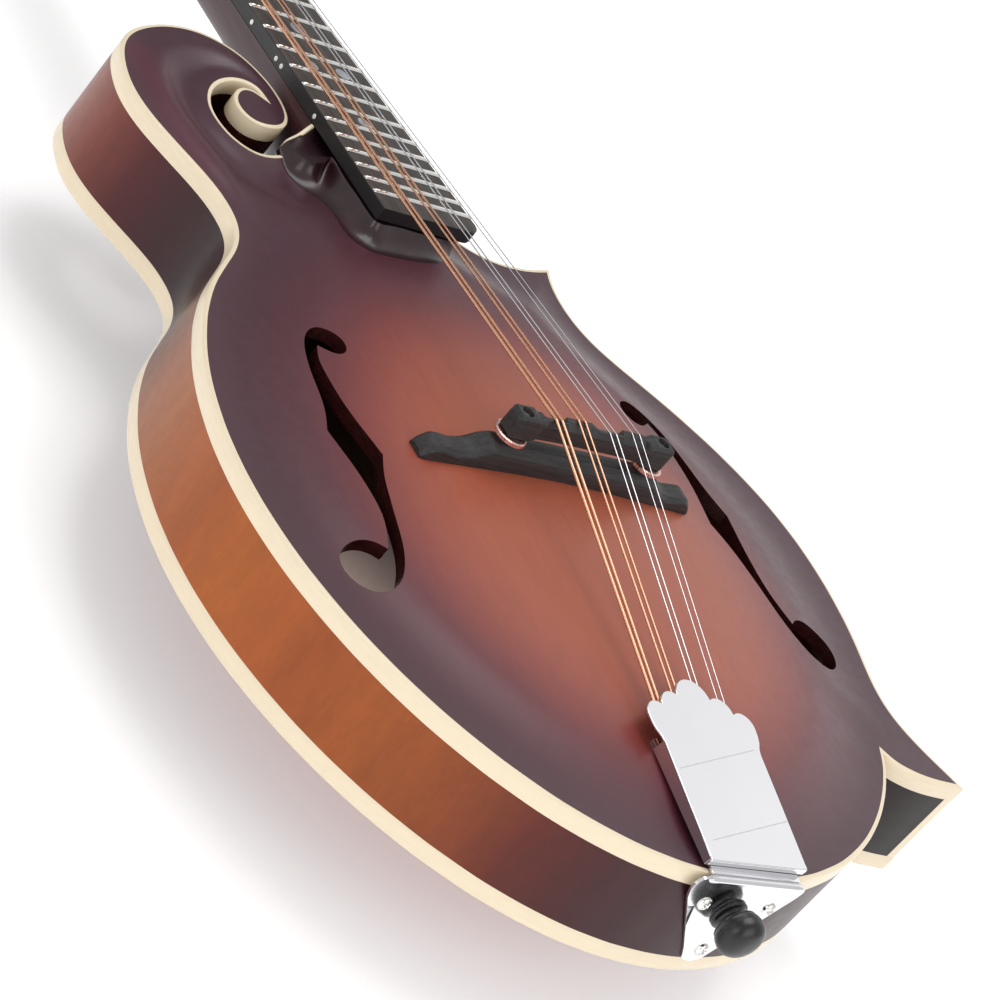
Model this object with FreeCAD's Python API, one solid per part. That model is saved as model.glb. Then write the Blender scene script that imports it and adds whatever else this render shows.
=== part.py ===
import FreeCAD, Part
import math, os
from FreeCAD import Vector as V, Placement, Rotation

os.makedirs("parts", exist_ok=True)

# ---------------------------------------------------------------------------
# Carved-top mandolin with scroll and two points.  All lengths in mm.
# Working axes: +X treble side, +Y towards the headstock, +Z out of the top.
# Working zero: on the centreline, under the bridge crest, at the top edge of
# the rim.  Every solid is shifted by ORIGIN when it is written, so that the
# row's own origin is the centre of the bounding box, at the bottom.
# ---------------------------------------------------------------------------
ORIGIN = V(4.2, 176.85, -70.87)

# body
RIM_DEPTH = 39.8          # top edge of the rim to bottom edge of the rim
BINDING_H = 6.0           # height of the binding band on the side
BINDING_T = 1.4           # thickness of the binding
RIB_T = 2.2               # thickness of the bent sides
GLUE = 0.08               # glue line between the sides and the blocks
TOP_ARCH = 11.3           # rise of the carved top above its edge
BACK_ARCH = 12.0          # rise of the carved back
PLATE_T = 4.4             # thickness of the carved plates
SCROLL_LIFT = 4.0         # rise of the plate edge at the scroll's button
# neck, board and strings
SCALE = 352.4             # string scale length
BOARD_TILT = math.radians(4.35)
BOARD_Z15 = 14.15         # board's top above the rim's edge at fret 15
BOARD_T = 5.0
BOARD_W15 = 40.3
BOARD_TAPER = 0.0621      # width lost per mm towards the nut
BOARD_END_Y = 102.0
NUT_Y = 351.4
N_FRETS = 20
NECK_Y = 149.3            # where the neck meets the body
HEAD_TILT = math.radians(18.35)
HEAD_LEN = 168.0
HEAD_T = 13.0
VENEER_T = 2.0
# bridge
SADDLE_HALF = 33.5
BASE_HALF = 57.8
POST_X = 29.3
POST_R = 1.9
POST_HOLE_R = 1.95
WHEEL_R = 5.6
WHEEL_T = 1.7
SADDLE_Z0 = 22.0
SADDLE_Z1 = 30.4
STRING_X = [-19.0, -16.4, -7.8, -4.9, 4.4, 7.2, 15.8, 19.1]
STRING_R = [0.50, 0.50, 0.33, 0.33, 0.19, 0.19, 0.14, 0.14]
NUT_X = [-12.4, -10.3, -5.1, -3.0, 3.0, 5.1, 10.3, 12.4]
STRING_Z = 30.85
# tailpiece
HOOK_Y = -109.0
HOOK_Z = 5.6
COVER_SLOPE = math.atan(0.155)
COVER_REAR = V(0, -142.9, 4.0)
# tuners
TUNER_S = [46.0, 69.1, 92.2, 115.3]
POST_OFF = 18.0
GEAR_R = 5.3
WORM_R = 2.3
GEAR_TEETH = 16

# outline of the body at the outer face of the binding
P_SHOULDER_B = [(-20.6, 149.3), (-24.2, 146.6), (-28.4, 144.3), (-31.6, 143.6)]
P_SLOT = [(-31.6, 143.6), (-32.8, 139.8), (-36.7, 138.0), (-41.6, 137.3), (-46.1, 138.1), (-49.6, 140.3), (-52.2, 143.5), (-53.7, 147.5), (-54.2, 151.9), (-53.8, 156.3), (-52.3, 160.5), (-50.0, 164.3), (-46.9, 167.5), (-43.2, 169.9), (-38.9, 171.4), (-34.4, 171.6), (-30.9, 170.0), (-29.7, 166.4)]
P_MAIN = [(-29.7, 166.4), (-32.8, 168.6), (-36.0, 168.9), (-40.0, 166.6), (-42.9, 161.6), (-42.6, 155.6), (-39.3, 151.3), (-33.8, 150.1), (-28.1, 151.8), (-23.9, 156.1), (-21.7, 162.1), (-21.4, 168.8), (-22.5, 175.1), (-25.0, 180.9), (-28.5, 186.0), (-33.0, 190.1), (-38.2, 193.2), (-43.9, 195.2), (-49.9, 195.8), (-55.9, 195.2), (-61.9, 193.4), (-67.5, 190.6), (-72.6, 186.9), (-76.8, 182.5), (-80.2, 177.4), (-82.7, 171.8), (-84.5, 166.0), (-85.6, 160.0), (-85.8, 153.9), (-85.0, 147.9), (-83.4, 142.0), (-81.2, 136.3), (-78.7, 130.6), (-76.1, 124.9), (-73.7, 119.1), (-71.9, 113.2), (-71.1, 107.2), (-71.4, 101.1), (-73.1, 95.3), (-76.0, 90.0), (-79.7, 85.1), (-84.0, 80.4), (-88.3, 75.8), (-92.5, 71.2), (-96.4, 66.5), (-100.0, 61.6), (-103.4, 56.5), (-106.6, 51.3), (-109.5, 45.8), (-112.2, 40.3), (-114.7, 34.6), (-116.9, 28.8), (-118.8, 22.9), (-120.4, 16.9), (-121.7, 10.9), (-122.8, 4.8), (-123.6, -1.4), (-124.0, -7.5), (-124.2, -13.6), (-124.0, -19.8), (-123.6, -25.9), (-122.8, -32.0), (-121.8, -38.0), (-120.5, -44.0), (-118.9, -50.0), (-117.0, -55.8), (-114.9, -61.6), (-112.5, -67.3), (-109.9, -72.9), (-107.0, -78.3), (-103.9, -83.7), (-100.5, -88.9), (-97.0, -93.9), (-93.2, -98.8), (-89.1, -103.6), (-84.9, -108.1), (-80.5, -112.5), (-75.8, -116.6), (-71.0, -120.6), (-66.1, -124.3), (-60.9, -127.7), (-55.7, -130.8), (-50.2, -133.7), (-44.7, -136.3), (-39.0, -138.6), (-33.2, -140.5), (-27.3, -142.2), (-21.3, -143.4), (-15.2, -144.4), (-9.1, -145.0), (-3.0, -145.3), (3.2, -145.2), (9.3, -144.8), (15.5, -144.1), (21.6, -143.1), (27.6, -141.8), (33.5, -140.1), (39.4, -138.1), (45.2, -135.9), (50.8, -133.3), (56.3, -130.4), (61.6, -127.3), (66.8, -123.9), (71.8, -120.2), (76.6, -116.3), (81.2, -112.2), (85.5, -107.9), (89.7, -103.3), (93.5, -98.6), (97.1, -93.6), (100.6, -87.2)]
P_POINT = [(100.6, -87.2), (103.4, -90.6), (107.6, -93.2), (112.5, -95.1), (117.5, -96.3), (122.5, -97.0), (127.5, -97.4), (132.6, -97.8)]
P_TREBLE = [(132.6, -97.8), (129.1, -91.7), (125.2, -85.3), (121.8, -78.7), (119.4, -72.0), (118.5, -65.1), (119.0, -58.3), (120.4, -51.3), (122.2, -44.3), (123.9, -37.1), (125.2, -29.9), (126.1, -22.7), (126.7, -15.4), (126.8, -8.1), (126.5, -0.9), (125.7, 6.2), (124.3, 13.2), (122.4, 20.1), (119.9, 26.7), (116.9, 33.3), (113.5, 39.6), (109.8, 45.8), (105.6, 51.7), (101.2, 57.6), (96.5, 63.2), (91.7, 68.6), (86.8, 73.9), (82.1, 79.4), (78.2, 85.1), (75.5, 91.5), (74.1, 98.7), (74.2, 106.1), (75.7, 113.4), (78.3, 120.0)]
P_SHOULDER_T = [(78.3, 120.0), (71.8, 118.1), (64.9, 116.6), (57.9, 115.9), (50.9, 116.1), (44.2, 117.6), (38.2, 120.3), (32.8, 124.6), (28.4, 130.0), (24.8, 136.2), (22.2, 142.7), (20.6, 149.3)]
# sound hole on the bass side: two smooth runs between its sharp corners
F_HOLE = [
    [(-86.2, 4.8), (-84.9, -2.2), (-83.6, -9.3), (-82.7, -17.0), (-82.4, -24.0), (-83.4, -31.5), (-86.6, -40.4)],
    [(-86.6, -40.4), (-89.0, -38.6), (-92.4, -37.4), (-96.5, -37.6), (-100.6, -39.6), (-103.8, -43.0), (-104.6, -47.0), (-103.2, -51.2), (-99.8, -54.4), (-95.2, -55.6), (-90.8, -54.4), (-86.8, -51.2), (-84.0, -47.0), (-81.5, -41.4), (-79.6, -34.5), (-78.2, -27.8), (-76.6, -20.6), (-74.4, -12.3), (-70.6, -3.4)],
    [(-70.6, -3.4), (-71.7, 1.8), (-72.9, 7.3), (-73.9, 13.0), (-74.6, 19.8), (-74.7, 28.0), (-74.0, 35.6), (-71.6, 41.6)],
    [(-71.6, 41.6), (-69.4, 40.2), (-66.0, 38.8), (-62.6, 39.6), (-60.5, 42.6), (-60.8, 46.4), (-63.6, 49.2), (-67.8, 50.0), (-72.2, 47.6), (-75.6, 43.0), (-78.2, 36.4), (-80.1, 28.5), (-81.3, 21.0), (-82.8, 13.8), (-86.2, 4.8)],
]


# ------------------------------------------------------------------ helpers
ALL = []


def write(node, shapes):
    """Write one node; shapes is a solid or a list of separate solids."""
    if not isinstance(shapes, (list, tuple)):
        shapes = [shapes]
    solids = []
    for s in shapes:
        for q in s.Solids:
            q = q.copy()
            q.translate(V(-ORIGIN.x, -ORIGIN.y, -ORIGIN.z))
            if q.Volume < 0:
                q.reverse()
            solids.append(q)
    out = solids[0] if len(solids) == 1 else Part.makeCompound(solids)
    out.exportStep("parts/%s.step" % node)
    bb = out.optimalBoundingBox(False, False)
    ALL.append(bb)
    print("%-22s solids %2d vol %10.1f valid %s z %.1f..%.1f" % (node, len(solids), out.Volume, out.isValid(), bb.ZMin, bb.ZMax))
    return out


def smooth_pts(pts, step=1.5):
    c = Part.BSplineCurve()
    c.interpolate([V(x, y, 0) for x, y in pts])
    n = max(4, int(c.length() / step) + 1)
    return [(p.x, p.y) for p in c.discretize(Number=n)]


def offset(poly, d):
    """Move a dense polyline to its left by d."""
    if abs(d) < 1e-9:
        return list(poly)
    out = []
    n = len(poly)
    for i in range(n):
        a = poly[max(0, i - 1)]
        b = poly[min(n - 1, i + 1)]
        tx, ty = b[0] - a[0], b[1] - a[1]
        l = math.hypot(tx, ty)
        out.append((poly[i][0] - ty / l * d, poly[i][1] + tx / l * d))
    return out


def extend(poly, e):
    (x0, y0), (x1, y1) = poly[0], poly[1]
    l = math.hypot(x1 - x0, y1 - y0)
    head = (x0 - (x1 - x0) / l * e, y0 - (y1 - y0) / l * e)
    (x0, y0), (x1, y1) = poly[-1], poly[-2]
    l = math.hypot(x1 - x0, y1 - y0)
    tail = (x0 - (x1 - x0) / l * e, y0 - (y1 - y0) / l * e)
    return [head] + list(poly) + [tail]


def cross(p, p2, q, q2):
    rx, ry = p2[0] - p[0], p2[1] - p[1]
    sx, sy = q2[0] - q[0], q2[1] - q[1]
    den = rx * sy - ry * sx
    if abs(den) < 1e-12:
        return None
    t = ((q[0] - p[0]) * sy - (q[1] - p[1]) * sx) / den
    u = ((q[0] - p[0]) * ry - (q[1] - p[1]) * rx) / den
    if -1e-9 <= t <= 1 + 1e-9 and -1e-9 <= u <= 1 + 1e-9:
        return (p[0] + rx * t, p[1] + ry * t)
    return None


def join(a, b, reach, ext):
    """Trim or extend the end of a and the start of b to a common corner."""
    ea, eb = extend(a, ext), extend(b, ext)
    ka = [i for i in range(len(ea) - 1) if math.hypot(ea[i][0] - a[-1][0], ea[i][1] - a[-1][1]) < reach]
    kb = [i for i in range(len(eb) - 1) if math.hypot(eb[i][0] - b[0][0], eb[i][1] - b[0][1]) < reach]
    for i in reversed(ka):
        for j in kb:
            c = cross(ea[i], ea[i + 1], eb[j], eb[j + 1])
            if c:
                na = ea[1:i + 1] + [c]
                nb = [c] + eb[j + 1:-1]
                return na, nb
    return a, b


def thin(poly, step):
    """Fewer points, ends kept, for a clean spline."""
    out = [poly[0]]
    acc = 0.0
    total = sum(math.hypot(poly[i + 1][0] - poly[i][0], poly[i + 1][1] - poly[i][1]) for i in range(len(poly) - 1))
    n = max(1, int(round(total / step)))
    want = total / n
    for i in range(1, len(poly) - 1):
        acc += math.hypot(poly[i][0] - poly[i - 1][0], poly[i][1] - poly[i - 1][1])
        if acc >= want * len(out) and len(out) < n:
            out.append(poly[i])
    out.append(poly[-1])
    return out


def edge_of(poly, z=0.0, step=5.0):
    p = thin(poly, step)
    if len(p) == 2:
        return Part.makeLine(V(p[0][0], p[0][1], z), V(p[1][0], p[1][1], z))
    c = Part.BSplineCurve()
    c.interpolate([V(x, y, z) for x, y in p])
    return c.toShape()


def wire_of(polys, z=0.0, step=5.0):
    edges = []
    n = len(polys)
    for i in range(n):
        edges.append(edge_of(polys[i], z, step))
        a, b = polys[i][-1], polys[(i + 1) % n][0]
        if math.hypot(a[0] - b[0], a[1] - b[1]) > 1e-4:
            edges.append(Part.makeLine(V(a[0], a[1], z), V(b[0], b[1], z)))
    return Part.Wire(Part.__sortEdges__(edges))


def prism(polys, z0, z1, step=5.0):
    return Part.Face(wire_of(polys, z0, step)).extrude(V(0, 0, z1 - z0))


def poly_prism(pts, z0, z1):
    w = Part.makePolygon([V(x, y, z0) for x, y in pts] + [V(pts[0][0], pts[0][1], z0)])
    return Part.Face(w).extrude(V(0, 0, z1 - z0))


def hexa(v):
    """Solid from 8 corners: bottom 0-3, top 4-7, same winding."""
    quads = [(0, 3, 2, 1), (4, 5, 6, 7), (0, 1, 5, 4), (1, 2, 6, 5), (2, 3, 7, 6), (3, 0, 4, 7)]
    fs = []
    for q in quads:
        a, b, c, d = [V(*v[i]) for i in q]
        n = b.sub(a).cross(c.sub(a))
        n.normalize()
        if abs(n.dot(d.sub(a))) < 1e-7:
            fs.append(Part.Face(Part.makePolygon([a, b, c, d, a])))
        else:
            fs.append(Part.Face(Part.makePolygon([a, b, c, a])))
            fs.append(Part.Face(Part.makePolygon([a, c, d, a])))
    s = Part.makeSolid(Part.makeShell(fs))
    if s.Volume < 0:
        s.reverse()
    return s


def wedge(y0, y1, w0, w1, zt0, zt1, t0, t1=None):
    t1 = t0 if t1 is None else t1
    return hexa([(-w0, y0, zt0 - t0), (w0, y0, zt0 - t0), (w1, y1, zt1 - t1), (-w1, y1, zt1 - t1),
                 (-w0, y0, zt0), (w0, y0, zt0), (w1, y1, zt1), (-w1, y1, zt1)])


def rod(a, b, r):
    d = b.sub(a)
    return Part.makeCylinder(r, d.Length, a, d)


# ------------------------------------------------------- outline of the body
main = smooth_pts(P_MAIN, 1.5)


def near(poly, x, y):
    return min(range(len(poly)), key=lambda i: (poly[i][0] - x) ** 2 + (poly[i][1] - y) ** 2)


i_btn = near(main, -21.4, 168.8)
i_waist = near(main, -71.1, 107.2)
i_tail = near(main, 0.0, -145.3)
SEGS = ["neck", "shoulder_b", "slot", "button", "scroll", "bass", "tail_t", "point", "treble", "shoulder_t"]
OUT = {
    "neck": [(20.6, 149.3), (-20.6, 149.3)],
    "shoulder_b": smooth_pts(P_SHOULDER_B),
    "slot": smooth_pts(P_SLOT, 1.2),
    "button": main[:i_btn + 1],
    "scroll": main[i_btn:i_waist + 1],
    "bass": main[i_waist:i_tail + 1],
    "tail_t": main[i_tail:],
    "point": smooth_pts(P_POINT),
    "treble": smooth_pts(P_TREBLE),
    "shoulder_t": smooth_pts(P_SHOULDER_T),
}


def loop(d, special=None):
    """The whole outline moved inwards by d, as trimmed polylines."""
    special = special or {}
    ds = {k: special.get(k, d) for k in SEGS}
    ds["neck"] = special.get("neck", 0.0)
    polys = []
    cuts = {"button": (0, i_btn), "scroll": (i_btn, i_waist), "bass": (i_waist, i_tail), "tail_t": (i_tail, len(main) - 1)}
    for k in SEGS:
        if k in cuts:
            a, b = cuts[k]
            polys.append(offset(main, ds[k])[a:b + 1])
        else:
            polys.append(offset(OUT[k], ds[k]))
    n = len(polys)
    for i in range(n):
        j = (i + 1) % n
        a, b = SEGS[i], SEGS[j]
        da, db = ds[a], ds[b]
        if da == 0 and db == 0:
            continue
        smooth_joint = (a, b) in (("button", "scroll"), ("scroll", "bass"), ("bass", "tail_t"))
        if smooth_joint:
            continue
        if (a, b) == ("slot", "button"):
            continue
        polys[i], polys[j] = join(polys[i], polys[j], 12 * max(da, db, 1.0), 3 * max(da, db, 0.5))
    return polys


OUTER = loop(0.0)
PLATE = loop(BINDING_T)
SIDE_IN = loop(RIB_T + GLUE)
outer_all = [p for k in SEGS if k != "neck" for p in OUT[k]]


def edge_dist(x, y):
    return math.sqrt(min((px - x) ** 2 + (py - y) ** 2 for px, py in outer_all[::2]))


def sstep(t):
    t = max(0.0, min(1.0, t))
    return t * t * (3 - 2 * t)


def lift(x, y):
    return SCROLL_LIFT * sstep((x + 72) / 46.0) * sstep((y - 122) / 26.0) * sstep((6 - x) / 24.0)


def arch(x, y, h):
    u2 = (x / 125.0) ** 2 + ((y + 15.0) / (190.0 if y > -15 else 130.5)) ** 2
    if u2 >= 1:
        return 0.0
    return h * (1 - u2) ** 1.4


def edge_fade(d):
    return sstep((d - 1.5) / 30.0) if d < 31.5 else 1.0


XS = [-130 + 265.0 * i / 38 for i in range(39)]
YS = [-152 + 354.0 * i / 50 for i in range(51)]
fade = {}
for x in XS:
    for y in YS:
        fade[(x, y)] = edge_fade(edge_dist(x, y))


def field(h, dz, scroll, sign):
    """Spline surface z = dz + sign * (arch + lift) over the whole body."""
    rows = []
    for x in XS:
        row = []
        for y in YS:
            z = arch(x, y, h) * fade[(x, y)] + (lift(x, y) if scroll else 0.0)
            row.append(V(x, y, dz + sign * z))
        rows.append(row)
    s = Part.BSplineSurface()
    s.interpolate(rows)
    return s.toShape()


# ------------------------------------------------------------------- plates
Z_TB = -BINDING_H                     # underside of the top's edge
Z_BT = -(RIM_DEPTH - BINDING_H)       # upper side of the back's edge
Z_BB = -RIM_DEPTH

top_surf = field(TOP_ARCH, 0.0, True, 1)
under_top = top_surf.extrude(V(0, 0, -40))        # everything just below the top's surface
top_in_surf = field(TOP_ARCH, -PLATE_T, True, 1)
under_in = top_in_surf.extrude(V(0, 0, -40))

HOLLOW_D = 9.0
h = loop(HOLLOW_D)
h_bass = [p for p in h[5] if p[1] < 108]
h_treble = [p for p in h[8] if p[1] < 98]
hollow_polys = [h_bass, h[6], h[7], h_treble, [h_treble[-1], (40.0, 108.0)], [(40.0, 108.0), h_bass[0]]]
cavity = prism(hollow_polys, -60, 30)
f_shapes = []
for side in (1, -1):
    polys = [smooth_pts(seg, 1.0) for seg in F_HOLE]
    if side == -1:
        polys = [[(-x, y) for x, y in p] for p in polys]
    f_shapes.append(prism(polys, -20, 30, 3.0))

top_plate = prism(PLATE, Z_TB, 30).common(under_top)
top_plate = top_plate.cut(cavity.common(under_in))
for f in f_shapes:
    top_plate = top_plate.cut(f)
write("top_plate", top_plate)

back_surf = field(BACK_ARCH, Z_BB, False, -1)
above_back = back_surf.extrude(V(0, 0, 40))
back_in_surf = field(BACK_ARCH, Z_BB + PLATE_T, False, -1)
above_in = back_in_surf.extrude(V(0, 0, 40))
back_plate = prism(PLATE, -80, Z_BT).common(above_back)
back_plate = back_plate.cut(cavity.common(above_in))
write("back_plate", back_plate)

# bindings: a band round the edge, open where the neck stands
ring = prism(OUTER, -60, 30).cut(prism(PLATE, -61, 31))
top_binding = ring.common(under_top).common(Part.makeBox(400, 500, 40, V(-200, -200, Z_TB)))
climb = hexa([(-24.2, 146.7, 3.0), (-20.4, 149.25, 3.0), (-20.4, 150.9, 3.0), (-24.9, 148.0, 3.0),
              (-22.4, 147.9, 8.8), (-20.4, 149.25, 8.8), (-20.4, 150.9, 8.8), (-23.1, 149.2, 8.8)])
climb = max(climb.cut(top_binding).cut(top_plate).Solids, key=lambda q: q.Volume)


def along(poly, d):
    """Point at distance d from the first point of a polyline."""
    for (x0, y0), (x1, y1) in zip(poly, poly[1:]):
        l = math.hypot(x1 - x0, y1 - y0)
        if l >= d:
            return (x0 + (x1 - x0) * d / l, y0 + (y1 - y0) * d / l)
        d -= l
    return poly[-1]


# upright cream guards on the tips of the two points
GUARD_LEG = 3.4
guards = []
for a, b in (("point", "treble"), ("treble", "shoulder_t")):
    tip = OUT[b][0]
    guards.append(poly_prism([along(OUT[a][::-1], GUARD_LEG), tip, along(OUT[b], GUARD_LEG)], Z_BT + 0.03, Z_TB - 0.03))
write("top_binding", [top_binding, climb] + guards)
back_binding = ring.common(Part.makeBox(400, 500, BINDING_H, V(-200, -200, Z_BB)))
write("back_binding", back_binding)


# ---------------------------------------------------------- sides and blocks
def strip(key, d0, d1, z0, z1, cut0=0, cut1=0):
    a = OUT[key][cut0:len(OUT[key]) - cut1]
    p, q = offset(a, d0), offset(a, d1)
    return prism([p, [p[-1], q[-1]], q[::-1], [q[0], p[0]]], z0, z1)


scroll_block_zone = poly_prism([(-140, 112), (32, 112), (32, 220), (-140, 220)], -80, 60)
block_polys = loop(RIB_T + GLUE, {"slot": 0.0, "button": 0.0, "shoulder_b": 0.0})
head_block = prism(block_polys, Z_BT, Z_TB).common(scroll_block_zone)
TENON = Part.makeBox(20, 16, 26, V(-10, NECK_Y - 16, -32.0))
head_block = head_block.cut(TENON)
tail_block = prism(SIDE_IN, Z_BT, Z_TB).common(Part.makeBox(56, 14, 60, V(-28, -143.6, -50)))
PIN_Y, PIN_Z = -145.9, -13.0
pin_hole = Part.makeCylinder(4.0, 30, V(0, -150, PIN_Z), V(0, 1, 0))
tail_block = tail_block.cut(pin_hole)
point_blocks = [prism(SIDE_IN, Z_BT, Z_TB).common(Part.makeCylinder(26, 60, V(134, -100, -50))),
                prism(SIDE_IN, Z_BT, Z_TB).common(Part.makeCylinder(20, 60, V(79, 122, -50)))]


def rib(key, **k):
    s = strip(key, 0.0, RIB_T, Z_BT, Z_TB, **k)
    return s.cut(pin_hole)


ribs = {
    "rib_scroll": rib("scroll"),
    "rib_bass": rib("bass"),
    "rib_tail_treble": rib("tail_t", cut1=1),
    "rib_lower_point": rib("point", cut0=1, cut1=2),
    "rib_waist_treble": rib("treble", cut0=2, cut1=2),
    "rib_upper_treble": rib("shoulder_t", cut0=2),
}
for k in ribs:
    for gd in guards:
        if ribs[k].common(gd).Volume > 1e-4:
            ribs[k] = ribs[k].cut(gd)
done = []
for k in ("rib_tail_treble", "rib_waist_treble", "rib_upper_treble", "rib_lower_point", "rib_scroll", "rib_bass"):
    s = ribs[k]
    for o in done:
        if s.common(o).Volume > 1e-3:
            s = s.cut(o)
    done.append(s)
    ribs[k] = s
for k in sorted(ribs):
    ribs[k] = max(ribs[k].Solids, key=lambda q: q.Volume)
for k in sorted(ribs):
    if k == "rib_tail_treble":
        write(k, [ribs[k], ribs["rib_lower_point"]])
    elif k != "rib_lower_point":
        write(k, ribs[k])
head_block = max(head_block.Solids, key=lambda q: q.Volume)
tail_block = max(tail_block.Solids, key=lambda q: q.Volume)
point_blocks = [max(b.Solids, key=lambda q: q.Volume) for b in point_blocks]
write("head_block", head_block)
write("tail_block", tail_block)
write("point_blocks", point_blocks)

linings = []
others = [head_block, tail_block] + point_blocks
for z0, z1 in ((Z_TB - 6.0, Z_TB), (Z_BT, Z_BT + 6.0)):
    for key, c0, c1 in (("bass", 4, 0), ("tail_t", 0, 4), ("treble", 12, 10)):
        s = strip(key, RIB_T + 2.5 * GLUE, RIB_T + 4.5, z0, z1, c0, c1)
        for o in others:
            s = s.cut(o)
        linings += [q for q in s.Solids if q.Volume > 50]
write("linings", linings)

bars = []
for x0, x1 in ((-22, -34), (18, 30)):
    b = hexa([(x0 - 2.7, 62, -4), (x0 + 2.7, 62, -4), (x1 + 2.7, -92, -4), (x1 - 2.7, -92, -4),
              (x0 - 2.7, 62, 14), (x0 + 2.7, 62, 14), (x1 + 2.7, -92, 14), (x1 - 2.7, -92, 14)])
    b = b.common(cavity).common(under_in)
    bars.append(max(b.Solids, key=lambda q: q.Volume))
write("tone_bars", bars)

lab = poly_prism([(-62, -24), (2, -24), (2, 34), (-62, 34)], -70, -30).common(above_in)
lab = lab.cut(field(BACK_ARCH, Z_BB + PLATE_T + 0.4, False, -1).extrude(V(0, 0, 40)))
write("inner_label", max(lab.Solids, key=lambda q: q.Volume))


# --------------------------------------------------------------- neck, board
def board_z(y):
    return BOARD_Z15 - math.tan(BOARD_TILT) * (y - 147.74)


def board_w(y):
    return (BOARD_W15 - BOARD_TAPER * (y - 147.74)) / 2.0


def neck_section(y, depth, belly, wtop=None):
    w = board_w(y) if wtop is None else wtop
    z = board_z(y) - BOARD_T
    pts = [V(-w, y, z), V(-w * (0.98 - 0.10 * (1 - belly)), y, z - depth * 0.34), V(-w * 0.80 * belly, y, z - depth * 0.72),
           V(-w * 0.42 * belly, y, z - depth * 0.94), V(0, y, z - depth),
           V(w * 0.42 * belly, y, z - depth * 0.94), V(w * 0.80 * belly, y, z - depth * 0.72),
           V(w * (0.98 - 0.10 * (1 - belly)), y, z - depth * 0.34), V(w, y, z)]
    c = Part.BSplineCurve()
    c.interpolate(pts)
    return Part.Wire([c.toShape(), Part.makeLine(pts[-1], pts[0])])


heel_depth = board_z(NECK_Y) - BOARD_T - Z_BB
# depth of the neck below the board, and how full its lower half is
NECK_PROFILE = [(NECK_Y, heel_depth, 0.80), (153.0, heel_depth - 1.2, 0.80), (157.0, 44.5, 0.81), (161.0, 39.5, 0.83),
                (165.0, 34.5, 0.86), (169.5, 30.0, 0.90), (175.0, 26.0, 0.94), (182.0, 22.6, 0.97), (190.0, 20.3, 0.99),
                (202.0, 18.6, 1.0), (222.0, 17.6, 1.0), (252.0, 16.8, 1.0), (288.0, 16.0, 1.0), (320.0, 15.4, 1.0),
                (340.0, 15.2, 1.0), (353.0, 15.2, 1.0)]
neck = Part.makeLoft([neck_section(*q) for q in NECK_PROFILE], True, True)

HEAD0 = V(0, NUT_Y + 3.4, board_z(NUT_Y) - 2.4)
head_pl = Placement(HEAD0, Rotation(V(1, 0, 0), -math.degrees(HEAD_TILT)))


def head_outline():
    right = [(13.9, -0.5), (15.2, 8), (20.5, 17), (28.5, 24.5), (32.6, 33), (33.0, 45), (31.6, 70), (30.4, 95),
             (30.6, 120), (33.2, 140), (34.6, 152), (31.0, 161), (22.5, 163.2), (13.0, 161.6), (5.5, 164.4), (0, 168.0)]
    return right


def head_prism(n0, n1, inset=0.0):
    r = [(max(0.0, x - inset) if x > 0 else 0.0, s) for x, s in head_outline()]
    a = Part.BSplineCurve()
    a.interpolate([V(x, s, n0) for x, s in r])
    b = Part.BSplineCurve()
    b.interpolate([V(-x, s, n0) for x, s in reversed(r)])
    base = Part.makeLine(V(-r[0][0], r[0][1], n0), V(r[0][0], r[0][1], n0))
    w = Part.Wire([base, a.toShape(), b.toShape()])
    p = Part.Face(w).extrude(V(0, 0, n1 - n0))
    p.Placement = head_pl
    return p


def place(shape):
    s = shape.copy()
    s.Placement = head_pl.multiply(s.Placement)
    return s


head_wood = head_prism(-VENEER_T - HEAD_T, -VENEER_T)
post_holes = [place(Part.makeCylinder(4.2, 60, V(sx * POST_OFF, s, -40))) for sx in (-1, 1) for s in TUNER_S]
pocket = place(Part.makeBox(9, 26, 20, V(-4.5, 3.0, -11.0)))
rod_hole = rod(V(0, 150.0, board_z(150) - BOARD_T - 6.5), V(0, 362.5, board_z(362.5) - BOARD_T - 5.5), 3.0)
volute = place(Part.makeBox(26.0, 14, 12.0, V(-13.0, -6, -VENEER_T - HEAD_T + 1.2)))
neck = neck.fuse(head_wood)
neck = neck.fuse(TENON)
neck = neck.cut(pocket).cut(rod_hole)
for h in post_holes:
    neck = neck.cut(h)
neck = neck.removeSplitter()
neck = max(neck.Solids, key=lambda q: q.Volume)

heel_cap = poly_prism([(-13.5, 149.4), (13.5, 149.4), (13.0, 152.5), (9.0, 156.5), (0, 158.6), (-9.0, 156.5), (-13.0, 152.5)], Z_BB - 1.6, Z_BB - 0.1)
heel_cap = heel_cap.cut(neck)
write("heel_cap", heel_cap)

veneer = head_prism(-VENEER_T, 0.0).cut(pocket)
for h in post_holes:
    veneer = veneer.cut(h)
veneer = veneer.cut(Part.makeBox(60, 10, 40, V(-30, NUT_Y - 6.0, -30)))
write("headstock_veneer", max(veneer.Solids, key=lambda q: q.Volume))

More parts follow.
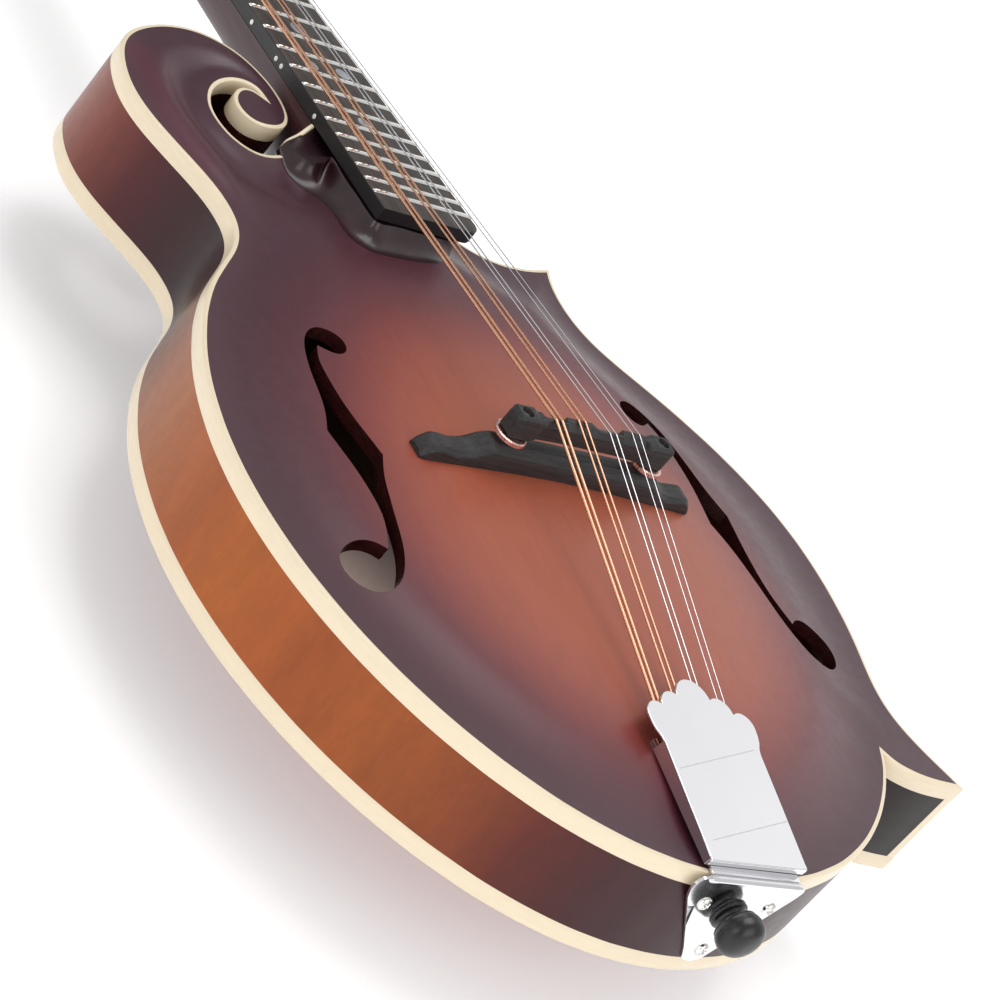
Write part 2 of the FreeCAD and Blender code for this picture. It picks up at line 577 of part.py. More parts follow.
rod_a = V(0, 152.0, board_z(152) - BOARD_T - 6.4)
rod_b = V(0, 361.5, board_z(361.5) - BOARD_T - 5.5)
truss_rod = rod(rod_a, rod_b, 2.4)
write("truss_rod", truss_rod)
rod_dir = rod_b.sub(rod_a)
rod_dir.normalize()
nut_a = rod_b.add(V(rod_dir).multiply(0.3))
nut_b = rod_b.add(V(rod_dir).multiply(7.5))
hexp = Part.makePolygon([V(3.3 * math.cos(math.radians(60 * i)), 3.3 * math.sin(math.radians(60 * i)), 0) for i in range(7)])
truss_nut = Part.Face(hexp).extrude(V(0, 0, 7.2))
truss_nut.Placement = Placement(nut_a, Rotation(V(0, 0, 1), rod_dir))
cover_pts = [(-5.0, 2.4), (5.0, 2.4), (7.4, 10), (8.2, 18), (6.6, 27), (2.8, 35), (0, 38.5), (-2.8, 35), (-6.6, 27), (-8.2, 18), (-7.4, 10)]
trc = Part.makeLoft([Part.makePolygon([V(x, s, 0.0) for x, s in cover_pts] + [V(cover_pts[0][0], cover_pts[0][1], 0.0)]),
                     Part.makePolygon([V(x, s, 1.8) for x, s in cover_pts] + [V(cover_pts[0][0], cover_pts[0][1], 1.8)])], True, True)
cover_screw_s = [(0, 33.5), (-6.0, 14.0), (6.0, 14.0)]
for x, s in cover_screw_s[:1]:
    trc = trc.cut(Part.makeCylinder(1.05, 5, V(x, s, -1)))
for x in (-5.6, 5.6):
    trc = trc.cut(Part.makeCylinder(1.05, 5, V(x, 6.0, -1)))
write("truss_rod_cover", place(trc))
scr = []
for x, s in ((0, 33.5), (-5.6, 6.0), (5.6, 6.0)):
    c = Part.makeCylinder(1.0, 1.8, V(x, s, 0.0)).fuse(Part.makeSphere(2.0, V(x, s, 0.9)).common(Part.makeBox(6, 6, 3, V(x - 3, s - 3, 1.8))))
    scr.append(place(c.removeSplitter()))
write("truss_cover_screws", scr)
write("truss_rod_nut", truss_nut)

board = wedge(BOARD_END_Y, NUT_Y, board_w(BOARD_END_Y), board_w(NUT_Y), board_z(BOARD_END_Y), board_z(NUT_Y), BOARD_T)
ed = [e for e in board.Edges if abs(e.Vertexes[0].X - board_w(BOARD_END_Y)) < 0.3 and abs(e.Vertexes[1].X - board_w(BOARD_END_Y)) < 0.3
      and abs(e.Vertexes[0].Y - BOARD_END_Y) < 0.1 and abs(e.Vertexes[1].Y - BOARD_END_Y) < 0.1]
board = board.makeFillet(5.5, ed)


def fret_y(n):
    return SCALE / 2 ** (n / 12.0) * math.cos(BOARD_TILT)


def dot(x, y, r, depth, top=0.0):
    return Part.makeCylinder(r, depth + top, V(x, y, board_z(y) - depth), V(0, math.sin(BOARD_TILT), math.cos(BOARD_TILT)))


dots = []
for n in (3, 5, 7, 10, 12, 15):
    y = 0.5 * (fret_y(n) + fret_y(n - 1))
    for x in ((-7.0, 7.0) if n == 12 else (0.0,)):
        dots.append(dot(x, y, 3.2 if n < 12 else 2.8, 1.2))
for d in dots:
    board = board.cut(d)
side = []
for n in (3, 5, 7, 10, 12, 15):
    y = 0.5 * (fret_y(n) + fret_y(n - 1))
    for dy in ((-2.1, 2.1) if n == 12 else (0.0,)):
        w = board_w(y + dy)
        side.append(Part.makeCylinder(0.9, 1.5, V(-w + 1.48, y + dy, board_z(y + dy) - 2.9), V(-1, 0, 0)))
for d in side:
    board = board.cut(d)
write("fretboard", board)
write("face_dots", dots)
write("side_dots", side)

frets = []
for n in range(1, N_FRETS + 1):
    y = fret_y(n)
    w = board_w(y)
    z = board_z(y)
    f = Part.makeBox(2 * w - 0.6, 1.5, 1.0, V(-w + 0.3, -0.75, 0))
    ed = [e for e in f.Edges if abs(e.Vertexes[0].Z - 1.0) < 1e-6 and abs(e.Vertexes[1].Z - 1.0) < 1e-6 and abs(e.Vertexes[0].Y - e.Vertexes[1].Y) < 1e-6]
    f = f.makeFillet(0.55, ed)
    f.Placement = Placement(V(0, y, z + 0.02), Rotation(V(1, 0, 0), -math.degrees(BOARD_TILT)))
    frets.append(f)
write("frets", frets)

nut = wedge(NUT_Y + 0.05, NUT_Y + 3.4, 13.85, 13.75, board_z(NUT_Y) + 1.3, board_z(NUT_Y) + 0.3, 5.6, 4.6)
nut = nut.cut(neck).cut(veneer)
nut = max(nut.Solids, key=lambda q: q.Volume)
for x, r in zip(NUT_X, STRING_R):
    nut = nut.cut(rod(V(x, NUT_Y - 3, board_z(NUT_Y) + 1.35 + 0.3), V(x, NUT_Y + 8, board_z(NUT_Y) + 0.55), r + 0.02))
write("nut", nut)

# support under the board where it runs over the top
LOWB = [(-24.4, 145.6), (-34.0, 135.0), (-29.0, 122.0), (-28.3, 106.0), (-24.5, 95.5), (-9.0, 94.0), (7.4, 96.0), (18.5, 101.5), (23.5, 110.0), (24.2, 126.0), (20.8, 147.5)]
HIGHB = [(-20.1, 148.6), (-20.7, 138.0), (-20.9, 124.0), (-21.2, 110.0), (-21.4, 102.6), (-8.0, 102.4), (8.0, 102.4), (15.0, 102.6), (20.6, 107.6), (20.9, 126.0), (20.1, 148.6)]
wb = Part.makePolygon([V(x, y, 1.0) for x, y in LOWB] + [V(LOWB[0][0], LOWB[0][1], 1.0)])
wt = Part.makePolygon([V(x, y, board_z(y) - BOARD_T) for x, y in HIGHB + HIGHB[:1]])
riser = Part.makeLoft([wb, wt], True, True)
riser = riser.cut(under_top).cut(neck)
riser = max(riser.Solids, key=lambda q: q.Volume)
write("fretboard_riser", riser)

# ------------------------------------------------------------------- bridge
base_prof = []
N = 24
for i in range(N + 1):
    x = -BASE_HALF + 2 * BASE_HALF * i / N
    base_prof.append((x, arch(x, 0, TOP_ARCH) + 0.0))


def base_top(x):
    ax = abs(x)
    if ax > 50:
        return 12.2 - (ax - 50) * 0.16
    if ax > 38:
        return 12.2 + (50 - ax) * 0.13
    return 13.8 + (38 - ax) * 0.10


low = [V(x, -5.0, z) for x, z in base_prof]
cb = Part.BSplineCurve()
cb.interpolate(low)
hi = [V(x, -5.0, base_top(x)) for x in (BASE_HALF, 54, 50, 44, 38, 34, 20, 0, -20, -34, -38, -44, -50, -54, -BASE_HALF)]
ct = Part.BSplineCurve()
ct.interpolate(hi)
wb = Part.Wire([cb.toShape(), Part.makeLine(low[-1], hi[0]), ct.toShape(), Part.makeLine(hi[-1], low[0])])
bridge_base = Part.Face(wb).extrude(V(0, 10.0, 0))
taper = poly_prism([(-60, -6), (60, -6), (60, 6), (-60, 6)], 0, 40).cut(
    poly_prism([(-59, -3.6), (-40, -5.1), (0, -5.1), (40, -5.1), (59, -3.6), (59, 3.6), (40, 5.1), (0, 5.1), (-40, 5.1), (-59, 3.6)], -1, 41))
bridge_base = bridge_base.cut(taper).cut(under_top)
bridge_base = max(bridge_base.Solids, key=lambda q: q.Volume)
posts = []
for sx in (-1, 1):
    bridge_base = bridge_base.cut(Part.makeCylinder(POST_R, 40, V(sx * POST_X, 0, 11.0)))
    posts.append(Part.makeCylinder(POST_R, 18.4, V(sx * POST_X, 0, 11.0)))
write("bridge_base", bridge_base)
write("bridge_posts", posts)

saddle_prof = [(-33.5, 22.0), (-24.5, 22.0), (-21.0, 24.2), (-12, 25.0), (12, 25.0), (21.0, 24.2), (24.5, 22.0), (33.5, 22.0),
               (33.5, 29.6), (32.6, 30.4), (25.4, 30.4), (23.4, 29.6), (21.0, 30.28), (-21.0, 30.28), (-23.4, 29.6), (-25.4, 30.4), (-32.6, 30.4), (-33.5, 29.6)]
wp = Part.makePolygon([V(x, -3.4, z) for x, z in saddle_prof + saddle_prof[:1]])
saddle = Part.Face(wp).extrude(V(0, 6.8, 0))
for sy in (-1, 1):
    waist = poly_prism([(-22.8, sy * 2.4), (22.8, sy * 2.4), (22.8, sy * 6), (-22.8, sy * 6)], 15, 40)
    saddle = saddle.cut(waist)
for y0, y1, drop in ((-0.3, -4.0, 0.34), (0.3, 4.0, 0.20)):
    wz = Part.makePolygon([V(-22.0, y, z) for y, z in ((y0, 30.28), (y1, 30.28 - drop * abs(y1 - y0)), (y1, 31.0), (y0, 31.0), (y0, 30.28))])
    saddle = saddle.cut(Part.Face(wz).extrude(V(44.0, 0, 0)))
for sx in (-1, 1):
    saddle = saddle.cut(Part.makeCylinder(POST_HOLE_R + 0.1, 40, V(sx * POST_X, 0, 10)))
write("bridge_saddle", saddle)
for name, sx in (("thumbwheel_bass", -1), ("thumbwheel_treble", 1)):
    w = Part.makeCylinder(WHEEL_R, WHEEL_T, V(sx * POST_X, 0, SADDLE_Z0 - 0.05 - WHEEL_T))
    w = w.makeChamfer(0.25, [e for e in w.Edges if e.Curve.TypeId == "Part::GeomCircle"])
    w = w.cut(Part.makeCylinder(POST_HOLE_R, 10, V(sx * POST_X, 0, 15)))
    write(name, w)

# ---------------------------------------------------------------- tailpiece
RIM_Y = -145.35
plate_pts = [(-20.5, 0.2), (20.5, 0.2), (21.5, -1.5), (20.6, -4.2), (9.0, -27.5), (6.4, -32.6), (3.0, -34.2), (-0.4, -32.6), (-3.8, -27.5), (-20.6, -5.6), (-21.5, -2.0)]
tp_plate = Part.Face(Part.makePolygon([V(x, RIM_Y - 1.0, z) for x, z in plate_pts + plate_pts[:1]])).extrude(V(0, 1.0, 0))
tail_screws_at = [(-13.0, -9.8), (14.0, -9.6), (3.4, -28.7)]
tp_plate = tp_plate.cut(Part.makeCylinder(4.3, 10, V(0, -150, PIN_Z), V(0, 1, 0)))
for x, z in tail_screws_at:
    tp_plate = tp_plate.cut(Part.makeCylinder(1.25, 10, V(x, -150, z), V(0, 1, 0)))
tp_top = hexa([(-18.6, RIM_Y - 1.0, 0.1), (18.6, RIM_Y - 1.0, 0.1), (18.6, -101.0, 4.9), (-18.6, -101.0, 4.9),
               (-18.6, RIM_Y - 1.0, 1.1), (18.6, RIM_Y - 1.0, 1.1), (18.6, -101.0, 5.7), (-18.6, -101.0, 5.7)])
lip = Part.makeCylinder(1.3, 39.0, V(-19.5, RIM_Y - 0.7, -0.1), V(1, 0, 0))
tailpiece = tp_plate.fuse(tp_top).fuse(lip)
hook_x = []
for i in range(8):
    x = STRING_X[i] * 0.80
    hook_x.append(x)
    hy = HOOK_Y - 1.2
    tailpiece = tailpiece.fuse(Part.makeCylinder(0.75, 4.0, V(x, hy, 3.6)))
tailpiece = tailpiece.cut(under_top.common(Part.makeBox(60, 40, 30, V(-30, -143.8, -10))))
tailpiece = tailpiece.cut(Part.makeBox(80, 60, 40.06, V(-40, RIM_Y + 0.02, -40))).cut(top_plate)
tailpiece = tailpiece.removeSplitter()
write("tailpiece_base", max(tailpiece.Solids, key=lambda q: q.Volume))
ts = []
for x, z in tail_screws_at:
    s = Part.makeCylinder(1.2, 9.5, V(x, RIM_Y - 0.9, z), V(0, 1, 0))
    h = Part.makeSphere(2.9, V(x, RIM_Y + 0.9, z)).common(Part.makeBox(8, 3, 8, V(x - 4, RIM_Y - 4.0, z - 4)))
    ts.append(s.fuse(h).removeSplitter())
write("tailpiece_screws", [max(q.Solids, key=lambda z: z.Volume) for q in ts])

# cover, in its own sloping plane: local x, local s along the slope, local n up
cov_pl = Placement(COVER_REAR, Rotation(V(1, 0, 0), math.degrees(COVER_SLOPE)))
half = [(20.4, 0.0), (20.6, 38.5), (22.4, 44.5), (22.6, 48.5), (20.6, 52.0), (16.6, 52.6), (14.4, 50.8),
        (13.4, 53.8), (10.0, 55.6), (6.6, 55.0), (4.6, 57.4), (3.0, 59.6), (0.0, 60.6)]
full = half + [(-x, s) for x, s in reversed(half[:-1])]
plate = Part.Face(Part.makePolygon([V(x, s, -0.8) for x, s in full + full[:1]])).extrude(V(0, 0, 0.8))
fl = []
for sx in (-1, 1):
    xx = sx * 20.4
    q = hexa([(xx, 0.0, -3.2), (xx - sx * 0.8, 0.0, -3.2), (xx - sx * 0.8, 38.0, -5.2), (xx, 38.0, -5.2),
              (xx, 0.0, -0.4), (xx - sx * 0.8, 0.0, -0.4), (xx - sx * 0.8, 38.0, -0.4), (xx, 38.0, -0.4)])
    fl.append(q)
rear = Part.makeBox(40.8, 0.8, 2.0, V(-20.4, 0.0, -2.4))
cover = plate.fuse(fl[0]).fuse(fl[1]).fuse(rear).removeSplitter()
cover.Placement = cov_pl
write("tailpiece_cover", cover)

# end pin: one turned piece, tapered shank in the tail block
pin_prof = [(0, 20.0), (3.4, 20.0), (3.9, 1.0), (5.4, 0.4), (5.6, -0.6), (4.6, -1.6), (4.3, -2.6), (5.0, -3.4), (6.6, -4.4),
            (7.6, -6.2), (7.9, -8.4), (7.4, -10.8), (5.6, -12.8), (2.8, -13.9), (0, -14.2)]
pin_prof = [(r, RIM_Y - 1.0 + d if d <= 0.5 else RIM_Y + d) for r, d in pin_prof]
wp = Part.makePolygon([V(r, y, 0) for r, y in pin_prof] + [V(0, pin_prof[0][1], 0)])
end_pin = Part.Face(wp).revolve(V(0, 0, 0), V(0, 1, 0), 360)
band = Part.makeCylinder(7.9, 2.4, V(0, RIM_Y - 1.0 - 9.4, 0), V(0, 1, 0))
end_pin = end_pin.fuse(band).removeSplitter()
end_pin.translate(V(0, 0, PIN_Z))
end_pin = end_pin.cut(tailpiece.common(Part.makeBox(20, 1.2, 20, V(-10, RIM_Y - 1.05, PIN_Z - 10))))
write("end_pin", max(end_pin.Solids, key=lambda q: q.Volume))


# ------------------------------------------------------------------- tuners
def local(x, s, n):
    return head_pl.multVec(V(x, s, n))


BACK_N = -VENEER_T - HEAD_T
plates, ferrules, tscrews = [], [], []
for sx in (-1, 1):
    x0 = sx * (POST_OFF - 7.0)
    x1 = sx * (POST_OFF + 10.5)
    p = Part.makeBox(abs(x1 - x0), 112.0, 1.2, V(min(x0, x1), 32.0, BACK_N - 1.2))
    p = p.makeFillet(3.0, [e for e in p.Edges if abs(e.Vertexes[0].Z - e.Vertexes[1].Z) > 1])
    for s in TUNER_S:
        p = p.cut(Part.makeCylinder(3.06, 20, V(sx * POST_OFF, s, BACK_N - 10)))
        # two ears that carry the worm
        for ex in (POST_OFF - 5.4, POST_OFF + 5.2):
            ear = Part.makeBox(1.6, 6.4, 7.6, V(sx * ex - (1.6 if sx < 0 else 0), s + GEAR_R + WORM_R + 0.1 - 3.2, BACK_N - 1.2 - 7.2))
            p = p.fuse(ear)
        p = p.cut(Part.makeCylinder(1.56, 40, V(sx * 2, s + GEAR_R + WORM_R + 0.1, BACK_N - 1.2 - 3.8), V(sx, 0, 0)))
    scr_s = [36.0, 59.5, 82.6, 105.7, 140.0]
    for s in scr_s:
        p = p.cut(Part.makeCylinder(1.05, 20, V(sx * (POST_OFF - 4.5), s, BACK_N - 10)))
        c = Part.makeCylinder(1.0, 7.0, V(sx * (POST_OFF - 4.5), s, BACK_N - 1.3))
        h = Part.makeSphere(2.3, V(sx * (POST_OFF - 4.5), s, BACK_N + 0.2)).common(Part.makeBox(8, 8, 2.3, V(sx * (POST_OFF - 4.5) - 4, s - 4, BACK_N - 3.5)))
        tscrews.append(place(c.fuse(h).removeSplitter()))
    plates.append(place(p.removeSplitter()))
    for s in TUNER_S:
        f = Part.makeCylinder(4.15, VENEER_T + 3.0, V(sx * POST_OFF, s, -VENEER_T - 3.0)).fuse(Part.makeCylinder(5.4, 1.0, V(sx * POST_OFF, s, 0.0)))
        f = f.cut(Part.makeCylinder(3.06, 20, V(sx * POST_OFF, s, -10))).removeSplitter()
        ferrules.append(place(f))
for q in tscrews:
    neck = neck.cut(q)
write("neck", max(neck.Solids, key=lambda q: q.Volume))
write("tuner_plates", plates)
write("tuner_ferrules", ferrules)
write("tuner_screws", tscrews)

GEAR_N0 = BACK_N - 1.2 - 5.4
for side_name, sx in (("bass", -1), ("treble", 1)):
    for i, s in enumerate(TUNER_S):
        k = i + 1
        post = Part.makeCylinder(3.0, 15.2 - GEAR_N0 - 0.2, V(sx * POST_OFF, s, GEAR_N0))
        gear = Part.makeCylinder(GEAR_R - 0.1, 3.2, V(sx * POST_OFF, s, GEAR_N0))
        post = post.fuse(gear)
        post = post.fuse(Part.makeCylinder(3.75, 3.2, V(sx * POST_OFF, s, 4.4)))
        post = post.cut(Part.makeCylinder(0.8, 20, V(sx * POST_OFF - 10, s, 11.2), V(1, 0, 0)))
        post = post.removeSplitter()
        write("tuner_post_%s_%d" % (side_name, k), place(post))
        ws = s + GEAR_R + WORM_R + 0.1
        wn = BACK_N - 1.2 - 3.8
        d = V(sx, 0, 0)
        shaft = Part.makeCylinder(1.5, 36.0, V(sx * (POST_OFF - 6.6), ws, wn), d)
        worm = Part.makeCylinder(WORM_R - 0.1, 8.2, V(sx * (POST_OFF - 3.4), ws, wn), d)
        collar = Part.makeCylinder(2.9, 1.6, V(sx * (POST_OFF + 20.6), ws, wn), d)
        btn = Part.makeBox(11.0, 8.6, 13.4, V(0, -4.3, -6.7))
        btn = btn.makeFillet(3.4, [e for e in btn.Edges if abs(e.Vertexes[0].Y - e.Vertexes[1].Y) > 1])
        btn = btn.makeFillet(1.4, [e for e in btn.Edges if abs(e.Vertexes[0].Y - e.Vertexes[1].Y) < 1e-6 and abs(abs(e.Vertexes[0].Y) - 4.3) < 1e-6])
        btn.translate(V(POST_OFF + 22.2, ws, wn))
        if sx < 0:
            btn = btn.mirror(V(0, 0, 0), V(1, 0, 0))
        shaft = shaft.fuse(worm).fuse(collar).removeSplitter()
        btn = btn.cut(shaft)
        write("tuner_knob_%s_%d" % (side_name, k), [place(shaft), place(max(btn.Solids, key=lambda q: q.Volume))])

# ------------------------------------------------------------------ strings
NUT_TOP = board_z(NUT_Y) + 1.5
courses = {"strings_g": (0, 1), "strings_d": (2, 3), "strings_a": (4, 5), "strings_e": (6, 7)}
# which post each string goes to, from the nut outwards
POSTS = {0: (-1, 0), 1: (-1, 1), 2: (-1, 2), 3: (-1, 3), 4: (1, 3), 5: (1, 2), 6: (1, 1), 7: (1, 0)}
for node, idx in courses.items():
    out = []
    for i in idx:
        r = STRING_R[i]
        a = V(hook_x[i], HOOK_Y, HOOK_Z + 0.2)
        b = V(STRING_X[i], 0, STRING_Z - (0.5 - r) * 1.0)
        c = V(NUT_X[i], NUT_Y + 0.1, NUT_TOP + 0.1)
        sx, k = POSTS[i]
        pc = local(sx * POST_OFF, TUNER_S[k], 6.0)
        inner = local(sx * (POST_OFF - 3.75 - 0.25 - r), TUNER_S[k], 6.0)
        c2 = V(NUT_X[i], NUT_Y + 3.5, board_z(NUT_Y) + 0.62 + r + 0.35)
        e = V(inner)
        dirv = e.sub(c2)
        dirv.normalize()
        e2 = e.sub(V(dirv).multiply(0.5))
        s = rod(a, b, r)
        for p, q in ((b, c), (c, c2), (c2, e2)):
            s = s.fuse(rod(p, q, r))
        for p in (b, c, c2):
            s = s.fuse(Part.makeSphere(r, p))
        out.append(s)
    write(node, [max(s.Solids, key=lambda q: q.Volume) for s in out])

box = FreeCAD.BoundBox()
for bb in ALL:
    box.add(bb)
print("BOX centre", round((box.XMin + box.XMax) / 2 + ORIGIN.x, 3), round((box.YMin + box.YMax) / 2 + ORIGIN.y, 3), "bottom", round(box.ZMin + ORIGIN.z, 3),
      "size", round(box.XLength, 2), round(box.YLength, 2), round(box.ZLength, 2))
for side_name, sx in (("bass", -1), ("treble", 1)):
    for i, s in enumerate(TUNER_S):
        p = local(sx * POST_OFF, s, 0)
        w = local(sx * POST_OFF, s + GEAR_R + WORM_R + 0.1, BACK_N - 1.2 - 3.8)
        print("AXIS", side_name, i + 1, "post", [round(v - o, 4) for v, o in zip(p, ORIGIN)], "worm", [round(v - o, 4) for v, o in zip(w, ORIGIN)])
nrm = head_pl.Rotation.multVec(V(0, 0, 1))
print("NORMAL", [round(v, 6) for v in nrm], "ROD", [round(v, 6) for v in rod_dir], "NUTPOS", [round(v - o, 4) for v, o in zip(nut_a, ORIGIN)])
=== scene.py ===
import math
import bpy
import bmesh
import numpy as np
from mathutils import Vector, Matrix
from mathutils.geometry import delaunay_2d_cdt


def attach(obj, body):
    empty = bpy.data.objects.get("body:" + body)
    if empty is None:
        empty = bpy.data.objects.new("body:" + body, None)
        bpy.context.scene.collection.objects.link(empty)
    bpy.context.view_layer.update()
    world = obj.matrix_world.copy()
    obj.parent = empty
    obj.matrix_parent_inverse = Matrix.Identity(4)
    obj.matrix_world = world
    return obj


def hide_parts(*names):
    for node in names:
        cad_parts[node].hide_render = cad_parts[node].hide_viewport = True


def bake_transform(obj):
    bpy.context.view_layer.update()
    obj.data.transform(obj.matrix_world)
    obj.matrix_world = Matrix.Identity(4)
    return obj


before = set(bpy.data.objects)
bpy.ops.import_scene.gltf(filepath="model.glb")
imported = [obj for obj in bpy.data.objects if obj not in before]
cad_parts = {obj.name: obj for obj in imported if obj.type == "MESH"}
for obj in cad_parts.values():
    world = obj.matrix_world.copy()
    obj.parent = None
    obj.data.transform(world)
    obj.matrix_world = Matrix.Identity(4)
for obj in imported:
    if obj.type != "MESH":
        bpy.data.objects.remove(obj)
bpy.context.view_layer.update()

# ------------------------------------------------------------------ numbers
ORIGIN = np.array([4.2, 176.85, -70.87])
RIM_DEPTH, BINDING_H, BINDING_T, RIB_T = 39.8, 6.0, 1.4, 2.2
TOP_ARCH, BACK_ARCH, PLATE_T, SCROLL_LIFT = 11.3, 12.0, 4.4, 4.0
SCALE, BOARD_TILT, BOARD_Z15, BOARD_T = 352.4, math.radians(4.35), 14.15, 5.0
BOARD_W15, BOARD_TAPER, BOARD_END_Y, NUT_Y = 40.3, 0.0621, 102.0, 351.4
NECK_Y, HEAD_TILT = 149.3, math.radians(18.35)
POST_X = 29.3
STRING_X = [-19.0, -16.4, -7.8, -4.9, 4.4, 7.2, 15.8, 19.1]
STRING_R = [0.50, 0.50, 0.36, 0.36, 0.22, 0.22, 0.17, 0.17]
NUT_X = [-12.4, -10.3, -5.1, -3.0, 3.0, 5.1, 10.3, 12.4]
HOOK_Y, HOOK_Z, STRING_Z = -109.0, 5.6, 30.85
TUNER_S, POST_OFF = [46.0, 69.1, 92.2, 115.3], 18.0
Z_TB, Z_BT, Z_BB = -6.0, -33.8, -39.8
RIM_Y, PIN_Z = -145.35, -13.0
P_SHOULDER_B = [(-20.6, 149.3), (-24.2, 146.6), (-28.4, 144.3), (-31.6, 143.6)]
P_SLOT = [(-31.6, 143.6), (-32.8, 139.8), (-36.7, 138.0), (-41.6, 137.3), (-46.1, 138.1), (-49.6, 140.3), (-52.2, 143.5), (-53.7, 147.5), (-54.2, 151.9), (-53.8, 156.3), (-52.3, 160.5), (-50.0, 164.3), (-46.9, 167.5), (-43.2, 169.9), (-38.9, 171.4), (-34.4, 171.6), (-30.9, 170.0), (-29.7, 166.4)]
P_MAIN = [(-29.7, 166.4), (-32.8, 168.6), (-36.0, 168.9), (-40.0, 166.6), (-42.9, 161.6), (-42.6, 155.6), (-39.3, 151.3), (-33.8, 150.1), (-28.1, 151.8), (-23.9, 156.1), (-21.7, 162.1), (-21.4, 168.8), (-22.5, 175.1), (-25.0, 180.9), (-28.5, 186.0), (-33.0, 190.1), (-38.2, 193.2), (-43.9, 195.2), (-49.9, 195.8), (-55.9, 195.2), (-61.9, 193.4), (-67.5, 190.6), (-72.6, 186.9), (-76.8, 182.5), (-80.2, 177.4), (-82.7, 171.8), (-84.5, 166.0), (-85.6, 160.0), (-85.8, 153.9), (-85.0, 147.9), (-83.4, 142.0), (-81.2, 136.3), (-78.7, 130.6), (-76.1, 124.9), (-73.7, 119.1), (-71.9, 113.2), (-71.1, 107.2), (-71.4, 101.1), (-73.1, 95.3), (-76.0, 90.0), (-79.7, 85.1), (-84.0, 80.4), (-88.3, 75.8), (-92.5, 71.2), (-96.4, 66.5), (-100.0, 61.6), (-103.4, 56.5), (-106.6, 51.3), (-109.5, 45.8), (-112.2, 40.3), (-114.7, 34.6), (-116.9, 28.8), (-118.8, 22.9), (-120.4, 16.9), (-121.7, 10.9), (-122.8, 4.8), (-123.6, -1.4), (-124.0, -7.5), (-124.2, -13.6), (-124.0, -19.8), (-123.6, -25.9), (-122.8, -32.0), (-121.8, -38.0), (-120.5, -44.0), (-118.9, -50.0), (-117.0, -55.8), (-114.9, -61.6), (-112.5, -67.3), (-109.9, -72.9), (-107.0, -78.3), (-103.9, -83.7), (-100.5, -88.9), (-97.0, -93.9), (-93.2, -98.8), (-89.1, -103.6), (-84.9, -108.1), (-80.5, -112.5), (-75.8, -116.6), (-71.0, -120.6), (-66.1, -124.3), (-60.9, -127.7), (-55.7, -130.8), (-50.2, -133.7), (-44.7, -136.3), (-39.0, -138.6), (-33.2, -140.5), (-27.3, -142.2), (-21.3, -143.4), (-15.2, -144.4), (-9.1, -145.0), (-3.0, -145.3), (3.2, -145.2), (9.3, -144.8), (15.5, -144.1), (21.6, -143.1), (27.6, -141.8), (33.5, -140.1), (39.4, -138.1), (45.2, -135.9), (50.8, -133.3), (56.3, -130.4), (61.6, -127.3), (66.8, -123.9), (71.8, -120.2), (76.6, -116.3), (81.2, -112.2), (85.5, -107.9), (89.7, -103.3), (93.5, -98.6), (97.1, -93.6), (100.6, -87.2)]
P_POINT = [(100.6, -87.2), (103.4, -90.6), (107.6, -93.2), (112.5, -95.1), (117.5, -96.3), (122.5, -97.0), (127.5, -97.4), (132.6, -97.8)]
P_TREBLE = [(132.6, -97.8), (129.1, -91.7), (125.2, -85.3), (121.8, -78.7), (119.4, -72.0), (118.5, -65.1), (119.0, -58.3), (120.4, -51.3), (122.2, -44.3), (123.9, -37.1), (125.2, -29.9), (126.1, -22.7), (126.7, -15.4), (126.8, -8.1), (126.5, -0.9), (125.7, 6.2), (124.3, 13.2), (122.4, 20.1), (119.9, 26.7), (116.9, 33.3), (113.5, 39.6), (109.8, 45.8), (105.6, 51.7), (101.2, 57.6), (96.5, 63.2), (91.7, 68.6), (86.8, 73.9), (82.1, 79.4), (78.2, 85.1), (75.5, 91.5), (74.1, 98.7), (74.2, 106.1), (75.7, 113.4), (78.3, 120.0)]
P_SHOULDER_T = [(78.3, 120.0), (71.8, 118.1), (64.9, 116.6), (57.9, 115.9), (50.9, 116.1), (44.2, 117.6), (38.2, 120.3), (32.8, 124.6), (28.4, 130.0), (24.8, 136.2), (22.2, 142.7), (20.6, 149.3)]
F_HOLE = [
    [(-86.2, 4.8), (-84.9, -2.2), (-83.6, -9.3), (-82.7, -17.0), (-82.4, -24.0), (-83.4, -31.5), (-86.6, -40.4)],
    [(-86.6, -40.4), (-89.0, -38.6), (-92.4, -37.4), (-96.5, -37.6), (-100.6, -39.6), (-103.8, -43.0), (-104.6, -47.0), (-103.2, -51.2), (-99.8, -54.4), (-95.2, -55.6), (-90.8, -54.4), (-86.8, -51.2), (-84.0, -47.0), (-81.5, -41.4), (-79.6, -34.5), (-78.2, -27.8), (-76.6, -20.6), (-74.4, -12.3), (-70.6, -3.4)],
    [(-70.6, -3.4), (-71.7, 1.8), (-72.9, 7.3), (-73.9, 13.0), (-74.6, 19.8), (-74.7, 28.0), (-74.0, 35.6), (-71.6, 41.6)],
    [(-71.6, 41.6), (-69.4, 40.2), (-66.0, 38.8), (-62.6, 39.6), (-60.5, 42.6), (-60.8, 46.4), (-63.6, 49.2), (-67.8, 50.0), (-72.2, 47.6), (-75.6, 43.0), (-78.2, 36.4), (-80.1, 28.5), (-81.3, 21.0), (-82.8, 13.8), (-86.2, 4.8)],
]


# ------------------------------------------------------------- mesh helpers
def row(p):
    return (np.asarray(p, float) - ORIGIN) / 1000.0


